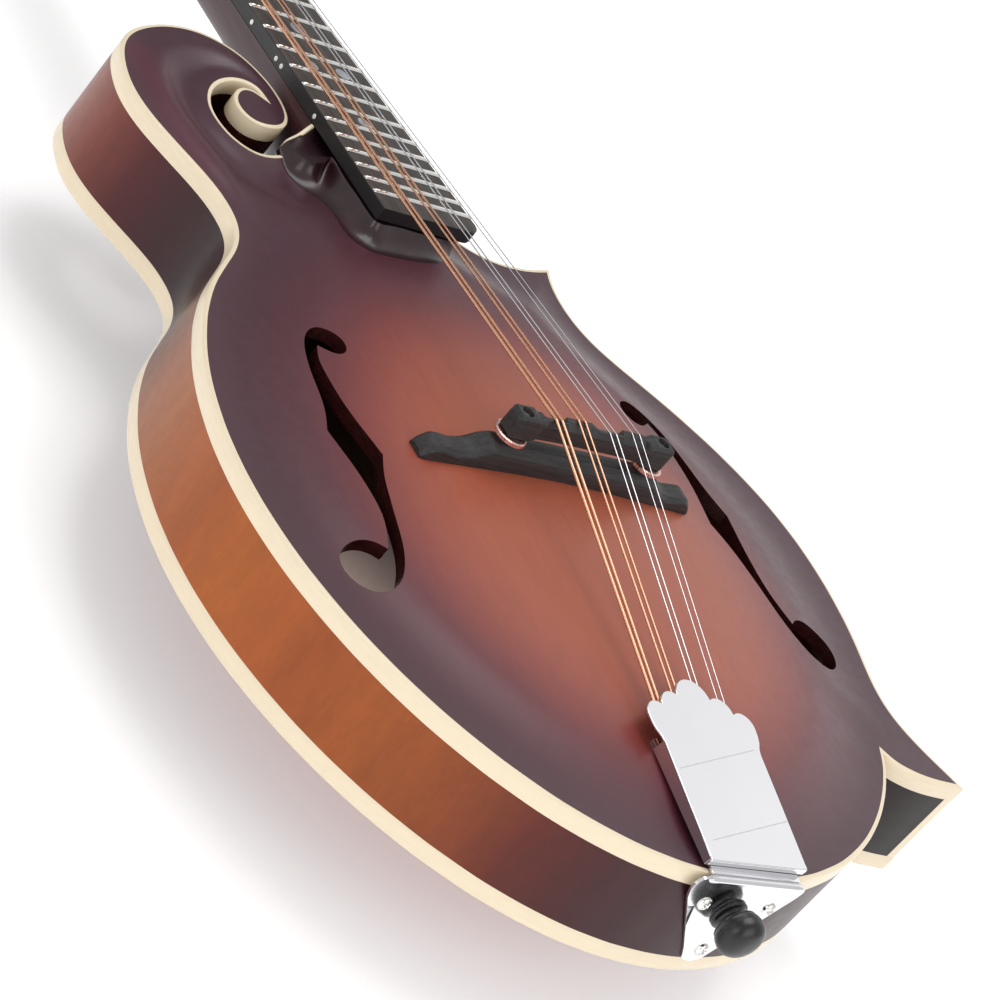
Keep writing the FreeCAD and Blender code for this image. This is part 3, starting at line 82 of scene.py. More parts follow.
class Geo:
    """Collects closed parts of one piece, in working millimetres."""

    def __init__(self):
        self.v, self.f, self.m, self.n = [], [], [], 0

    def add(self, verts, faces, mat=0):
        verts = np.asarray(verts, float).reshape(-1, 3)
        self.v.append(verts)
        self.f += [tuple(int(i) + self.n for i in f) for f in faces]
        self.m += ([mat] * len(faces)) if isinstance(mat, int) else list(mat)
        self.n += len(verts)
        return self

    def make(self, name, mats, body, slot=None, replaces=(), angle=35, bevel=0.0, seg=2, recalc=True, weld=0.0):
        me = bpy.data.meshes.new(name)
        me.from_pydata([tuple(p) for p in row(np.concatenate(self.v))], [], self.f)
        for m in mats:
            me.materials.append(m)
        me.polygons.foreach_set("material_index", self.m)
        bm = bmesh.new()
        bm.from_mesh(me)
        if weld:
            bmesh.ops.remove_doubles(bm, verts=bm.verts, dist=weld / 1000.0)
        if recalc:
            bmesh.ops.recalc_face_normals(bm, faces=bm.faces)
        bm.to_mesh(me)
        bm.free()
        me.update()
        me.polygons.foreach_set("use_smooth", [True] * len(me.polygons))
        if not bevel:
            me.set_sharp_from_angle(angle=math.radians(angle))
        ob = bpy.data.objects.new(name, me)
        bpy.context.scene.collection.objects.link(ob)
        if bevel:
            b = ob.modifiers.new("edge", "BEVEL")
            b.width, b.segments, b.limit_method, b.angle_limit = bevel / 1000.0, seg, "ANGLE", math.radians(28)
            b.harden_normals = True
            b.use_clamp_overlap = True
        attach(ob, body)
        if replaces:
            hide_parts(*replaces)
        return ob


def loft(rings, closed=True, caps=True):
    """Quads between equal rings; caps close both ends."""
    n = len(rings[0])
    v = np.concatenate([np.asarray(r, float) for r in rings])
    f = []
    last = n if closed else n - 1
    for i in range(len(rings) - 1):
        for j in range(last):
            k = (j + 1) % n
            f.append((i * n + j, i * n + k, (i + 1) * n + k, (i + 1) * n + j))
    if caps:
        f.append(tuple(range(n - 1, -1, -1)))
        f.append(tuple(range((len(rings) - 1) * n, len(rings) * n)))
    return v, f


def sweep_closed(rings):
    """Rings that join back to the first one."""
    n = len(rings[0])
    v = np.concatenate([np.asarray(r, float) for r in rings])
    f = []
    m = len(rings)
    for i in range(m):
        i2 = (i + 1) % m
        for j in range(n):
            k = (j + 1) % n
            f.append((i * n + j, i * n + k, i2 * n + k, i2 * n + j))
    return v, f


def prism(pts, lo, hi, to):
    """Prism of a 2-D outline between two heights; to maps (a, b, h) to space."""
    a = [to(p[0], p[1], lo) for p in pts]
    b = [to(p[0], p[1], hi) for p in pts]
    n = len(pts)
    f = [tuple(range(n - 1, -1, -1)), tuple(range(n, 2 * n))]
    for i in range(n):
        j = (i + 1) % n
        f.append((i, j, n + j, n + i))
    return np.array(a + b), f


def lathe(profile, origin, axis, n=48, close=True):
    """Turns (radius, distance along axis) round the axis."""
    o, d = np.array(origin, float), np.array(axis, float)
    d /= np.linalg.norm(d)
    h = np.array([0, 0, 1.0]) if abs(d[2]) < 0.9 else np.array([1.0, 0, 0])
    u = np.cross(h, d)
    u /= np.linalg.norm(u)
    w = np.cross(d, u)
    rings = []
    for r, t in profile:
        r = max(r, 1e-3)
        rings.append([o + d * t + (u * math.cos(2 * math.pi * k / n) + w * math.sin(2 * math.pi * k / n)) * r for k in range(n)])
    return loft(rings, True, close)


def tube(pts, r, n=12):
    pts = [np.array(p, float) for p in pts]
    rr = r if hasattr(r, "__len__") else [r] * len(pts)
    t0 = pts[1] - pts[0]
    t0 /= np.linalg.norm(t0)
    h = np.array([0, 0, 1.0]) if abs(t0[2]) < 0.9 else np.array([1.0, 0, 0])
    u = np.cross(h, t0)
    u /= np.linalg.norm(u)
    rings = []
    for i, p in enumerate(pts):
        a = pts[max(0, i - 1)]
        b = pts[min(len(pts) - 1, i + 1)]
        t = (b - a) / max(np.linalg.norm(b - a), 1e-9)
        u = u - t * (u @ t)
        u /= np.linalg.norm(u)
        w = np.cross(t, u)
        rings.append([p + (u * math.cos(2 * math.pi * k / n) + w * math.sin(2 * math.pi * k / n)) * rr[i] for k in range(n)])
    return loft(rings)


def box8(v):
    return np.array(v, float), [(0, 3, 2, 1), (4, 5, 6, 7), (0, 1, 5, 4), (1, 2, 6, 5), (2, 3, 7, 6), (3, 0, 4, 7)]


def block(x0, x1, y0, y1, z0, z1, to=lambda x, y, z: (x, y, z)):
    c = [(x0, y0, z0), (x1, y0, z0), (x1, y1, z0), (x0, y1, z0), (x0, y0, z1), (x1, y0, z1), (x1, y1, z1), (x0, y1, z1)]
    return box8([to(*p) for p in c])


def screw_head(origin, axis, r, h, rot=0.4, shank=0.0, n=48):
    """Domed head with a cross recess."""
    o, d = np.array(origin, float), np.array(axis, float)
    d /= np.linalg.norm(d)
    hh = np.array([0, 0, 1.0]) if abs(d[2]) < 0.9 else np.array([1.0, 0, 0])
    u = np.cross(hh, d)
    u /= np.linalg.norm(u)
    w = np.cross(d, u)
    rings = []
    rs = np.linspace(1.0, 0.02, 22)
    rings.append([o + (u * math.cos(2 * math.pi * k / n) + w * math.sin(2 * math.pi * k / n)) * r * 0.98 - d * 0.05 for k in range(n)])
    for q in rs:
        ring = []
        for k in range(n):
            a = 2 * math.pi * k / n
            x, y = q * math.cos(a + rot), q * math.sin(a + rot)
            z = h * math.sqrt(max(0.0, 1 - (q * 0.96) ** 2))
            ax, ay = abs(x), abs(y)
            inn = min(ax, ay)
            out = max(ax, ay)
            cut = max(0.0, min(1.0, (0.17 - inn) / 0.05)) * max(0.0, min(1.0, (0.62 - out) / 0.10))
            z -= cut * (0.75 * h + 0.15) * (1 - 0.5 * out)
            ring.append(o + (u * math.cos(a) + w * math.sin(a)) * r * q + d * z)
        rings.append(ring)
    return loft(rings)


# ------------------------------------------------------------------ outline
def spline(pts, step):
    """Natural cubic spline through the points, evenly sampled."""
    p = np.array(pts, float)
    if len(p) < 3:
        n = max(2, int(np.linalg.norm(p[1] - p[0]) / step) + 1)
        return np.array([p[0] + (p[1] - p[0]) * i / (n - 1) for i in range(n)])
    d = np.linalg.norm(np.diff(p, axis=0), axis=1)
    t = np.concatenate([[0], np.cumsum(d)])
    n = len(p)
    A = np.zeros((n, n))
    B = np.zeros((n, p.shape[1]))
    A[0, 0] = A[-1, -1] = 1
    for i in range(1, n - 1):
        A[i, i - 1], A[i, i], A[i, i + 1] = d[i - 1], 2 * (d[i - 1] + d[i]), d[i]
        B[i] = 6 * ((p[i + 1] - p[i]) / d[i] - (p[i] - p[i - 1]) / d[i - 1])
    M = np.linalg.solve(A, B)
    tt = np.linspace(0, t[-1], max(2, int(t[-1] / step) + 1))
    k = np.clip(np.searchsorted(t, tt, side="right") - 1, 0, n - 2)
    h = d[k][:, None]
    a = (t[k + 1] - tt)[:, None] / h
    b = (tt - t[k])[:, None] / h
    return a * p[k] + b * p[k + 1] + ((a ** 3 - a) * M[k] + (b ** 3 - b) * M[k + 1]) * h * h / 6


def sstep(t):
    t = np.clip(t, 0, 1)
    return t * t * (3 - 2 * t)


STEP = 1.2
seg_pts = [("shoulder_b", spline(P_SHOULDER_B, STEP)), ("slot", spline(P_SLOT, 0.8)), ("main", spline(P_MAIN, STEP)),
           ("point", spline(P_POINT, STEP)), ("treble", spline(P_TREBLE, STEP)), ("shoulder_t", spline(P_SHOULDER_T, STEP)),
           ("neck", spline([(20.6, 149.3), (-20.6, 149.3)], 4.0))]
OUT, START = [], {}
for nm, pp in seg_pts:
    START[nm] = len(OUT)
    OUT += [tuple(q) for q in pp[:-1]]
OUT = np.array(OUT)
NO = len(OUT)


def near_i(x, y, a, b):
    k = np.arange(a, b)
    return int(k[np.argmin((OUT[k, 0] - x) ** 2 + (OUT[k, 1] - y) ** 2)])


I_SLOT, I_MAIN, I_POINT, I_TREB, I_SH, I_NECK = (START[k] for k in ("slot", "main", "point", "treble", "shoulder_t", "neck"))
I_BTN = near_i(-21.4, 168.8, I_MAIN, I_POINT)
I_WAIST = near_i(-71.1, 107.2, I_BTN, I_POINT)
I_TAIL = near_i(0.0, -145.3, I_WAIST, I_POINT)

nxt = np.roll(OUT, -1, axis=0)
tn = nxt - OUT
ln = np.linalg.norm(tn, axis=1)
tn /= ln[:, None]
tp = np.roll(tn, 1, axis=0)
arc = np.concatenate([[0], np.cumsum(ln)[:-1]])
TOTAL = ln.sum()
n_prev = np.stack([-tp[:, 1], tp[:, 0]], 1)
n_next = np.stack([-tn[:, 1], tn[:, 0]], 1)
bis = n_prev + n_next
cosh = np.linalg.norm(bis, axis=1) / 2
bis = bis / np.maximum(np.linalg.norm(bis, axis=1)[:, None], 1e-9)
turn = np.degrees(np.arctan2(tp[:, 0] * tn[:, 1] - tp[:, 1] * tn[:, 0], (tp * tn).sum(1)))


def inset(d, neck=0.0):
    """The outline moved inwards by d, corners mitred, neck edge kept."""
    off = bis * (d / np.maximum(cosh, 0.30))[:, None]
    p = OUT + off
    for k in np.where(turn > 24)[0]:
        if k in (0, I_NECK):
            continue
        half = math.radians(180 - turn[k]) / 2
        L = d / math.tan(half)
        tip = OUT[k] + bis[k] * d / max(math.sin(half), 0.2)
        s = np.abs(arc - arc[k])
        s = np.minimum(s, TOTAL - s)
        p[s < L] = tip
    ii = np.arange(I_NECK, NO)
    p[ii] = OUT[ii]
    p[I_NECK] = (OUT[I_NECK][0] - d / max(abs(n_prev[I_NECK][0]), 0.3), 149.3)
    p[0] = (OUT[0][0] + d / max(abs(n_next[0][0]), 0.3), 149.3)
    p[:, 1] = np.where((np.abs(p[:, 0]) < 24) & (p[:, 1] > 149.3) & (OUT[:, 1] < 152), 149.3, p[:, 1])
    return p


FREE = np.array([q for i, q in enumerate(OUT) if i <= I_NECK])


def edge_dist(p):
    p = np.asarray(p, float)
    out = np.empty(len(p))
    for i in range(0, len(p), 2000):
        q = p[i:i + 2000]
        d2 = (q[:, None, 0] - FREE[None, :, 0]) ** 2 + (q[:, None, 1] - FREE[None, :, 1]) ** 2
        out[i:i + 2000] = np.sqrt(d2.min(1))
    return out


def line_dist(p, poly):
    p, poly = np.asarray(p, float), np.asarray(poly, float)
    d2 = (p[:, None, 0] - poly[None, :, 0]) ** 2 + (p[:, None, 1] - poly[None, :, 1]) ** 2
    return np.sqrt(d2.min(1)), d2.argmin(1)


def inside(p, poly):
    x, y = p[:, 0], p[:, 1]
    r = np.zeros(len(p), bool)
    a, b = poly, np.roll(poly, -1, axis=0)
    for (x0, y0), (x1, y1) in zip(a, b):
        if y0 == y1:
            continue
        c = ((y0 > y) != (y1 > y)) & (x < (x1 - x0) * (y - y0) / (y1 - y0) + x0)
        r ^= c
    return r


def lift(x, y):
    return SCROLL_LIFT * sstep((x + 72) / 46.0) * sstep((y - 122) / 26.0) * sstep((6 - x) / 24.0)


def arch(x, y, h):
    u2 = (x / 125.0) ** 2 + ((y + 15.0) / np.where(y > -15, 190.0, 130.5)) ** 2
    return np.where(u2 >= 1, 0.0, h * np.clip(1 - u2, 0, 1) ** 1.4)


RIDGE = spline([(-29, 178), (-38, 183.5), (-50, 184.5), (-61, 180.5), (-68.5, 171), (-71.5, 159), (-70.5, 146), (-67.5, 133), (-65.5, 120), (-64, 104), (-62, 90)], 0.8)
VALLEY = spline([(-33, 171), (-40, 176.5), (-50, 175), (-58.5, 167.5), (-62, 157), (-61.5, 145), (-57.5, 132.0), (-52, 121), (-45, 112)], 0.8)


def top_z(p, d=None):
    """Height of the carved top, and the distance to its edge."""
    p = np.asarray(p, float)
    x, y = p[:, 0], p[:, 1]
    d = edge_dist(p) if d is None else d
    z = arch(x, y, TOP_ARCH) * sstep((d - 1.5) / 30.0) + lift(x, y)
    w = sstep((y - 96) / 30.0) * sstep((-18 - x) / 10.0) * sstep((d - 1.4) / 7.0)
    m = w > 0
    if m.any():
        dr = line_dist(p[m], RIDGE)[0]
        dv = line_dist(p[m], VALLEY)[0]
        z[m] += w[m] * (1.5 * np.exp(-(dr / 5.2) ** 2) - 1.3 * np.exp(-(dv / 5.5) ** 2))
    return z, d


def back_z(p, d=None):
    p = np.asarray(p, float)
    d = edge_dist(p) if d is None else d
    return Z_BB - arch(p[:, 0], p[:, 1], BACK_ARCH) * sstep((d - 1.5) / 30.0), d


def fill(bound, holes, step, extra=None):
    """Triangles inside a closed outline, less holes: (points, triangles)."""
    lo, hi = bound.min(0), bound.max(0)
    g = []
    j = 0
    y = lo[1] + step * 0.5
    while y < hi[1]:
        x = lo[0] + (step * 0.5 if j % 2 else 0.0)
        while x < hi[0]:
            g.append((x, y))
            x += step
        y += step * 0.866
        j += 1
    g = np.array(g)
    g = g[inside(g, bound)]
    for h in holes:
        g = g[~inside(g, h)]
    edge = np.concatenate([bound] + list(holes))
    keep = np.ones(len(g), bool)
    for i in range(0, len(g), 2000):
        q = g[i:i + 2000]
        d2 = (q[:, None, 0] - edge[None, :, 0]) ** 2 + (q[:, None, 1] - edge[None, :, 1]) ** 2
        keep[i:i + 2000] = d2.min(1) > (step * 0.55) ** 2
    g = g[keep]
    loops = [bound] + list(holes)
    pts, edges = [], []
    for lp in loops:
        a = len(pts)
        pts += [Vector((float(q[0]), float(q[1]))) for q in lp]
        edges += [(a + i, a + (i + 1) % len(lp)) for i in range(len(lp))]
    nb = len(pts)
    pts += [Vector((float(q[0]), float(q[1]))) for q in g]
    vo, eo, fo, ov, oe, of = delaunay_2d_cdt(pts, edges, [], 0, 1e-4)
    vo = np.array([(q[0], q[1]) for q in vo])
    fo = np.array([f for f in fo if len(f) == 3])
    c = vo[fo].mean(1)
    ok = inside(c, bound)
    for h in holes:
        ok &= ~inside(c, h)
    return vo, fo[ok]


def slab(vo, fo, zt, zb):
    """Closed solid from a triangulation, with top and bottom heights; returns wall mask too."""
    n = len(vo)
    top = np.column_stack([vo, zt])
    bot = np.column_stack([vo, zb])
    faces = [tuple(f) for f in fo] + [(f[2] + n, f[1] + n, f[0] + n) for f in fo]
    kinds = [0] * len(fo) + [2] * len(fo)
    cnt = {}
    for f in fo:
        for a, b in ((f[0], f[1]), (f[1], f[2]), (f[2], f[0])):
            cnt[(a, b)] = 1
    for (a, b) in cnt:
        if (b, a) not in cnt:
            faces.append((b, a, a + n, b + n))
            kinds.append(1)
    used = np.zeros(2 * n, bool)
    for f in faces:
        used[list(f)] = True
    remap = np.cumsum(used) - 1
    v = np.concatenate([top, bot])[used]
    faces = [tuple(int(remap[i]) for i in f) for f in faces]
    return v, faces, kinds


# ---------------------------------------------------------------- materials
def lin(c):
    c = np.array(c, float) / 255.0
    return tuple(np.where(c <= 0.04045, c / 12.92, ((c + 0.055) / 1.055) ** 2.4))


class Mat:
    def __init__(self, name, rough=0.5, metal=0.0, base=(0.5, 0.5, 0.5), **sockets):
        self.m = bpy.data.materials.new(name)
        self.m.use_nodes = True
        self.t = self.m.node_tree
        self.b = next(n for n in self.t.nodes if n.type == "BSDF_PRINCIPLED")
        self.b.inputs["Base Color"].default_value = (*base, 1)
        self.b.inputs["Roughness"].default_value = rough
        self.b.inputs["Metallic"].default_value = metal
        for k, v in sockets.items():
            self.b.inputs[k.replace("_", " ")].default_value = v
        self.tc = None

    def n(self, kind, **kw):
        x = self.t.nodes.new(kind)
        for k, v in kw.items():
            setattr(x, k, v)
        return x

    def link(self, a, b):
        self.t.links.new(a, b)

    def coords(self, scale=(1, 1, 1), rot=(0, 0, 0)):
        if self.tc is None:
            self.tc = self.n("ShaderNodeTexCoord")
        mp = self.n("ShaderNodeMapping")
        mp.inputs["Scale"].default_value = scale
        mp.inputs["Rotation"].default_value = rot
        self.link(self.tc.outputs["Object"], mp.inputs["Vector"])
        return mp.outputs["Vector"]

    def noise(self, scale, vec, detail=4.0, rough=0.55, dist=0.0):
        x = self.n("ShaderNodeTexNoise")
        x.inputs["Scale"].default_value = scale
        x.inputs["Detail"].default_value = detail
        x.inputs["Roughness"].default_value = rough
        x.inputs["Distortion"].default_value = dist
        self.link(vec, x.inputs["Vector"])
        return x.outputs["Fac"]

    def remap(self, fac, a, b, c, d):
        x = self.n("ShaderNodeMapRange")
        for k, v in (("From Min", a), ("From Max", b), ("To Min", c), ("To Max", d)):
            x.inputs[k].default_value = v
        self.link(fac, x.inputs["Value"])
        return x.outputs["Result"]

    def mul(self, a, b):
        x = self.n("ShaderNodeMath", operation="MULTIPLY")
        self.link(a, x.inputs[0])
        if hasattr(b, "node"):
            self.link(b, x.inputs[1])
        else:
            x.inputs[1].default_value = b
        return x.outputs[0]

    def add(self, a, b):
        x = self.n("ShaderNodeMath", operation="ADD")
        self.link(a, x.inputs[0])
        if hasattr(b, "node"):
            self.link(b, x.inputs[1])
        else:
            x.inputs[1].default_value = b
        return x.outputs[0]

    def shade(self, color, fac):
        """color times a grey factor; color is a socket or a tuple."""
        x = self.n("ShaderNodeMix", data_type="RGBA", blend_type="MULTIPLY")
        x.inputs[0].default_value = 1.0
        if hasattr(color, "node"):
            self.link(color, x.inputs[6])
        else:
            x.inputs[6].default_value = (*color, 1)
        g = self.n("ShaderNodeCombineColor")
        for i in range(3):
            self.link(fac, g.inputs[i])
        self.link(g.outputs[0], x.inputs[7])
        return x.outputs[2]

    def mix(self, fac, c1, c2):
        x = self.n("ShaderNodeMix", data_type="RGBA")
        self.link(fac, x.inputs[0])
        for k, c in ((6, c1), (7, c2)):
            if hasattr(c, "node"):
                self.link(c, x.inputs[k])
            else:
                x.inputs[k].default_value = (*c, 1)
        return x.outputs[2]

    def base(self, s):
        self.link(s, self.b.inputs["Base Color"])
        return self

    def rough(self, s):
        self.link(s, self.b.inputs["Roughness"])
        return self

    def bump(self, h, strength=0.2, dist=0.0002):
        x = self.n("ShaderNodeBump")
        x.inputs["Strength"].default_value = strength
        x.inputs["Distance"].default_value = dist
        self.link(h, x.inputs["Height"])
        self.link(x.outputs["Normal"], self.b.inputs["Normal"])
        return self

    def attr(self, name):
        x = self.n("ShaderNodeAttribute", attribute_name=name)
        return x.outputs["Color"]


def plain(name, base, rough, metal=0.0, nscale=900.0, namp=0.10, ramp=0.06, bscale=1600.0, bstr=0.05, stretch=(1, 1, 1), **kw):
    """A solid colour with fine mottling in its colour, gloss and surface."""
    m = Mat(name, rough, metal, base, **kw)
    v = m.coords(stretch)
    a = m.noise(nscale, v, 3)
    m.base(m.shade(base, m.remap(a, 0.3, 0.7, 1 - namp, 1 + namp)))
    m.rough(m.remap(m.noise(nscale * 0.37, v, 4), 0.3, 0.7, max(0.02, rough - ramp), rough + ramp))
    if bstr:
        m.bump(m.noise(bscale, v, 2), bstr, 0.00005)
    return m.m


def lacquer(name, rough, grain, gscale, gamp, bstr, rot=(0, 0, 0), **kw):
    """Clear satin lacquer over stained wood, colour from the painted attribute."""
    m = Mat(name, rough, 0.0, (0.3, 0.1, 0.05), **kw)
    v = m.coords(grain, rot)
    g = m.noise(gscale, v, 5, 0.6, 0.15)
    fine = m.noise(gscale * 5.5, v, 3, 0.6)
    cloud = m.noise(22.0, m.coords(), 4, 0.55)
    f = m.mul(m.remap(g, 0.3, 0.7, 1 - gamp, 1 + gamp), m.remap(cloud, 0.3, 0.7, 0.95, 1.05))
    f = m.mul(f, m.remap(fine, 0.3, 0.7, 1 - gamp * 0.5, 1 + gamp * 0.5))
    m.base(m.shade(m.attr("paint"), f))
    m.rough(m.remap(m.noise(260.0, m.coords(), 4), 0.3, 0.7, rough - 0.04, rough + 0.04))
    m.bump(m.add(m.mul(g, 0.6), m.mul(m.noise(1500.0, m.coords(), 2), 0.4)), bstr, 0.00006)
    return m.m


def wood(name, c1, c2, rough, grain, gscale, bstr=0.15, pores=0.0, **kw):
    m = Mat(name, rough, 0.0, c1, **kw)
    v = m.coords(grain)
    g = m.noise(gscale, v, 6, 0.62, 0.3)
    c = m.mix(m.remap(g, 0.35, 0.65, 0, 1), c1, c2)
    if pores:
        p = m.noise(gscale * 4.0, v, 2, 0.5)
        c = m.shade(c, m.remap(p, 0.36, 0.44, 1 - pores, 1.0))
        m.bump(m.add(m.remap(p, 0.36, 0.46, 0, 1), m.mul(g, 0.4)), bstr, 0.00012)
    else:
        m.bump(g, bstr, 0.00008)
    m.base(c)
    m.rough(m.remap(g, 0.3, 0.7, max(0.05, rough - 0.06), rough + 0.06))
    return m.m


M = {}
M["top"] = lacquer("M_top_lacquer", 0.36, (1.0, 0.045, 1.0), 420.0, 0.045, 0.10, Coat_Weight=0.10, Coat_Roughness=0.30)
M["side"] = lacquer("M_side_lacquer", 0.36, (0.6, 0.6, 0.16), 240.0, 0.11, 0.08, Coat_Weight=0.04, Coat_Roughness=0.25, Specular_IOR_Level=0.30)
M["cut"] = plain("M_cut_edge", (0.030, 0.006, 0.006), 0.25, 0, 300, 0.35, 0.08, 900, 0.12, (1, 1, 3))
M["bare"] = wood("M_bare_spruce", (0.33, 0.21, 0.11), (0.25, 0.15, 0.075), 0.6, (1.0, 0.05, 1.0), 380.0, 0.1)
M["inside"] = wood("M_inside_maple", (0.085, 0.045, 0.028), (0.06, 0.03, 0.02), 0.6, (1.0, 0.08, 1.0), 240.0, 0.1)
M["bind"] = plain("M_cream_binding", lin((230, 214, 186)), 0.34, 0, 140, 0.025, 0.05, 500, 0.03, (1, 1, 6), Coat_Weight=0.15, Coat_Roughness=0.2)
M["riser"] = plain("M_riser_gloss", (0.020, 0.003, 0.006), 0.30, 0, 180, 0.35, 0.05, 600, 0.06, Coat_Weight=0.22, Coat_Roughness=0.12)
M["riser_top"] = plain("M_riser_top", (0.020, 0.006, 0.010), 0.34, 0, 300, 0.2, 0.05, 900, 0.05, Coat_Weight=0.2, Coat_Roughness=0.2)
M["neck"] = wood("M_neck_stain", (0.055, 0.013, 0.017), (0.035, 0.008, 0.012), 0.38, (1.0, 0.06, 1.0), 300.0, 0.05, Coat_Weight=0.2, Coat_Roughness=0.2)
M["ebony"] = wood("M_ebony", (0.030, 0.027, 0.028), (0.010, 0.009, 0.0095), 0.50, (0.05, 1.0, 1.0), 700.0, 0.5, pores=0.55)
M["board"] = wood("M_fretboard", (0.075, 0.060, 0.052), (0.030, 0.024, 0.022), 0.50, (1.0, 0.045, 1.0), 650.0, 0.35, pores=0.5)
# painted shade: the board's sides take the board's own wood recipe, painted several times darker than its top face
M["boardside"] = wood("M_fretboard_side_painted_shade", (0.010, 0.009, 0.010), (0.006, 0.0055, 0.006), 0.42, (1.0, 0.045, 1.0), 650.0, 0.2)
M["fret"] = plain("M_fret", (0.86, 0.85, 0.82), 0.16, 1.0, 900, 0.03, 0.05, 2200, 0.03, (1, 8, 1))
M["pearl"] = plain("M_pearl_dot", lin((150, 155, 162)), 0.22, 0, 260, 0.28, 0.05, 400, 0.02, Coat_Weight=0.5, Coat_Roughness=0.1)
M["sidedot"] = plain("M_side_dot", lin((232, 232, 228)), 0.3)
M["bone"] = plain("M_bone_nut", lin((232, 224, 200)), 0.35, 0, 500, 0.05, 0.05, 900, 0.03, (1, 6, 1))
M["veneer"] = plain("M_head_veneer", (0.008, 0.007, 0.008), 0.22, 0, 300, 0.25, 0.05, 900, 0.03, (1, 8, 1), Coat_Weight=0.4, Coat_Roughness=0.08)
M["black"] = plain("M_black_plastic", (0.012, 0.012, 0.013), 0.30, 0, 900, 0.15, 0.06, 1400, 0.05)
M["pin"] = plain("M_end_pin", (0.007, 0.007, 0.0075), 0.30, 0, 700, 0.2, 0.08, 1000, 0.08)
M["chrome"] = plain("M_chrome", (0.83, 0.83, 0.85), 0.11, 1.0, 60, 0.012, 0.03, 90, 0.015)
M["etch"] = plain("M_etched_line", (0.62, 0.62, 0.64), 0.42, 1.0, 1500, 0.12, 0.08, 3000, 0.2)
M["screw"] = plain("M_plated_screw", (0.80, 0.79, 0.76), 0.18, 1.0, 700, 0.06, 0.06, 1500, 0.05)
M["copper"] = plain("M_thumbwheel", (0.80, 0.52, 0.45), 0.28, 1.0, 800, 0.10, 0.08, 1500, 0.08)
M["nickel"] = plain("M_nickel_post", (0.80, 0.78, 0.74), 0.2, 1.0, 500, 0.04, 0.05, 1500, 0.03)
M["button"] = plain("M_tuner_button", lin((226, 216, 190)), 0.25, 0, 120, 0.10, 0.05, 300, 0.02, Coat_Weight=0.5, Coat_Roughness=0.1)
M["steel"] = plain("M_plain_string", (0.80, 0.80, 0.82), 0.22, 1.0, 900, 0.04, 0.05, 1500, 0.02, (1, 0.1, 1))
M["paper"] = plain("M_label_paper", lin((194, 172, 162)), 0.85, 0, 1200, 0.05, 0.04, 2000, 0.15)
M["block"] = wood("M_block_wood", (0.30, 0.17, 0.085), (0.22, 0.12, 0.06), 0.65, (1.0, 1.0, 0.1), 240.0, 0.1)


def wound():
    m = Mat("M_wound_string", 0.30, 1.0, (0.90, 0.50, 0.32))
    a = m.n("ShaderNodeAttribute", attribute_name="along")
    w = m.n("ShaderNodeTexWave", wave_type="BANDS", bands_direction="X", wave_profile="SIN")
    w.inputs["Scale"].default_value = 1.9
    w.inputs["Distortion"].default_value = 0.0
    m.link(a.outputs["Vector"], w.inputs["Vector"])
    # painted shade: the colour darkens in the grooves between wraps and lightens slightly on their crests; the bump
    # below gives the wraps' real relief
    f = m.remap(w.outputs["Fac"], 0, 1, 0.80, 1.05)
    m.base(m.shade((0.90, 0.50, 0.32), f))
    m.bump(w.outputs["Fac"], 0.3, 0.00003)
    m.rough(m.remap(m.noise(500.0, m.coords(), 2), 0.3, 0.7, 0.2, 0.3))
    return m.m


M["wound"] = wound()


def set_paint(ob, cols, name="paint"):
    """Linear colours per vertex."""
    a = ob.data.attributes.new(name, "FLOAT_COLOR", "POINT")
    c = np.ones((len(ob.data.vertices), 4), np.float32)
    c[:, :3] = cols
    a.data.foreach_set("color", c.ravel())


def verts_of(ob):
    co = np.empty(len(ob.data.vertices) * 3)
    ob.data.vertices.foreach_get("co", co)
    return co.reshape(-1, 3) * 1000.0 + ORIGIN


def ramp(t, stops):
    xs = [s[0] for s in stops]
    out = np.empty((len(t), 3))
    for i in range(3):
        out[:, i] = np.interp(t, xs, [s[1][i] for s in stops])
    return out


# ----------------------------------------------------------------- the body
in_b = inset(BINDING_T)
f_bass = np.concatenate([spline(r, 0.9)[:-1] for r in F_HOLE])
f_treb = f_bass * np.array([-1, 1])
g_step = 2.0
vo, fo = fill(in_b, [f_bass, f_treb], g_step)
zt, dd = top_z(vo)
v, f, k = slab(vo, fo, zt, zt - PLATE_T)
top = Geo().add(v, f, k).make("top_carved_plate", [M["top"], M["cut"], M["bare"]], "root", "sunburst_top", ("top_plate",), angle=40, recalc=False)

BURST = [(0.0, (0.345, 0.082, 0.038)), (0.58, (0.335, 0.078, 0.038)), (0.77, (0.280, 0.060, 0.036)), (0.90, (0.205, 0.036, 0.029)),
         (1.02, (0.125, 0.020, 0.026)), (1.14, (0.082, 0.018, 0.028)), (1.35, (0.058, 0.0165, 0.027)), (2.2, (0.050, 0.0155, 0.026))]


def burst_r(p):
    x, y = p[:, 0], p[:, 1]
    return np.sqrt((x / 84.0) ** 2 + ((y + 25) / np.where(y > -25, 98.0, 88.0)) ** 2)


tv = verts_of(top)
r = burst_r(tv)
edge = edge_dist(tv)
r = r + 0.10 * np.clip((16 - edge) / 16, 0, 1)
paint = ramp(r, BURST)
# painted light: a reddish brightening along the scroll's outer band, standing in for light falling on the carving
painted_scroll_light = np.exp(-(((tv[:, 0] + 74) / 9.0) ** 2)) * sstep((tv[:, 1] - 100) / 25.0) * (1 - sstep((tv[:, 1] - 176) / 14.0))
paint += painted_scroll_light[:, None] * np.array([0.030, 0.002, 0.006])
set_paint(top, paint)

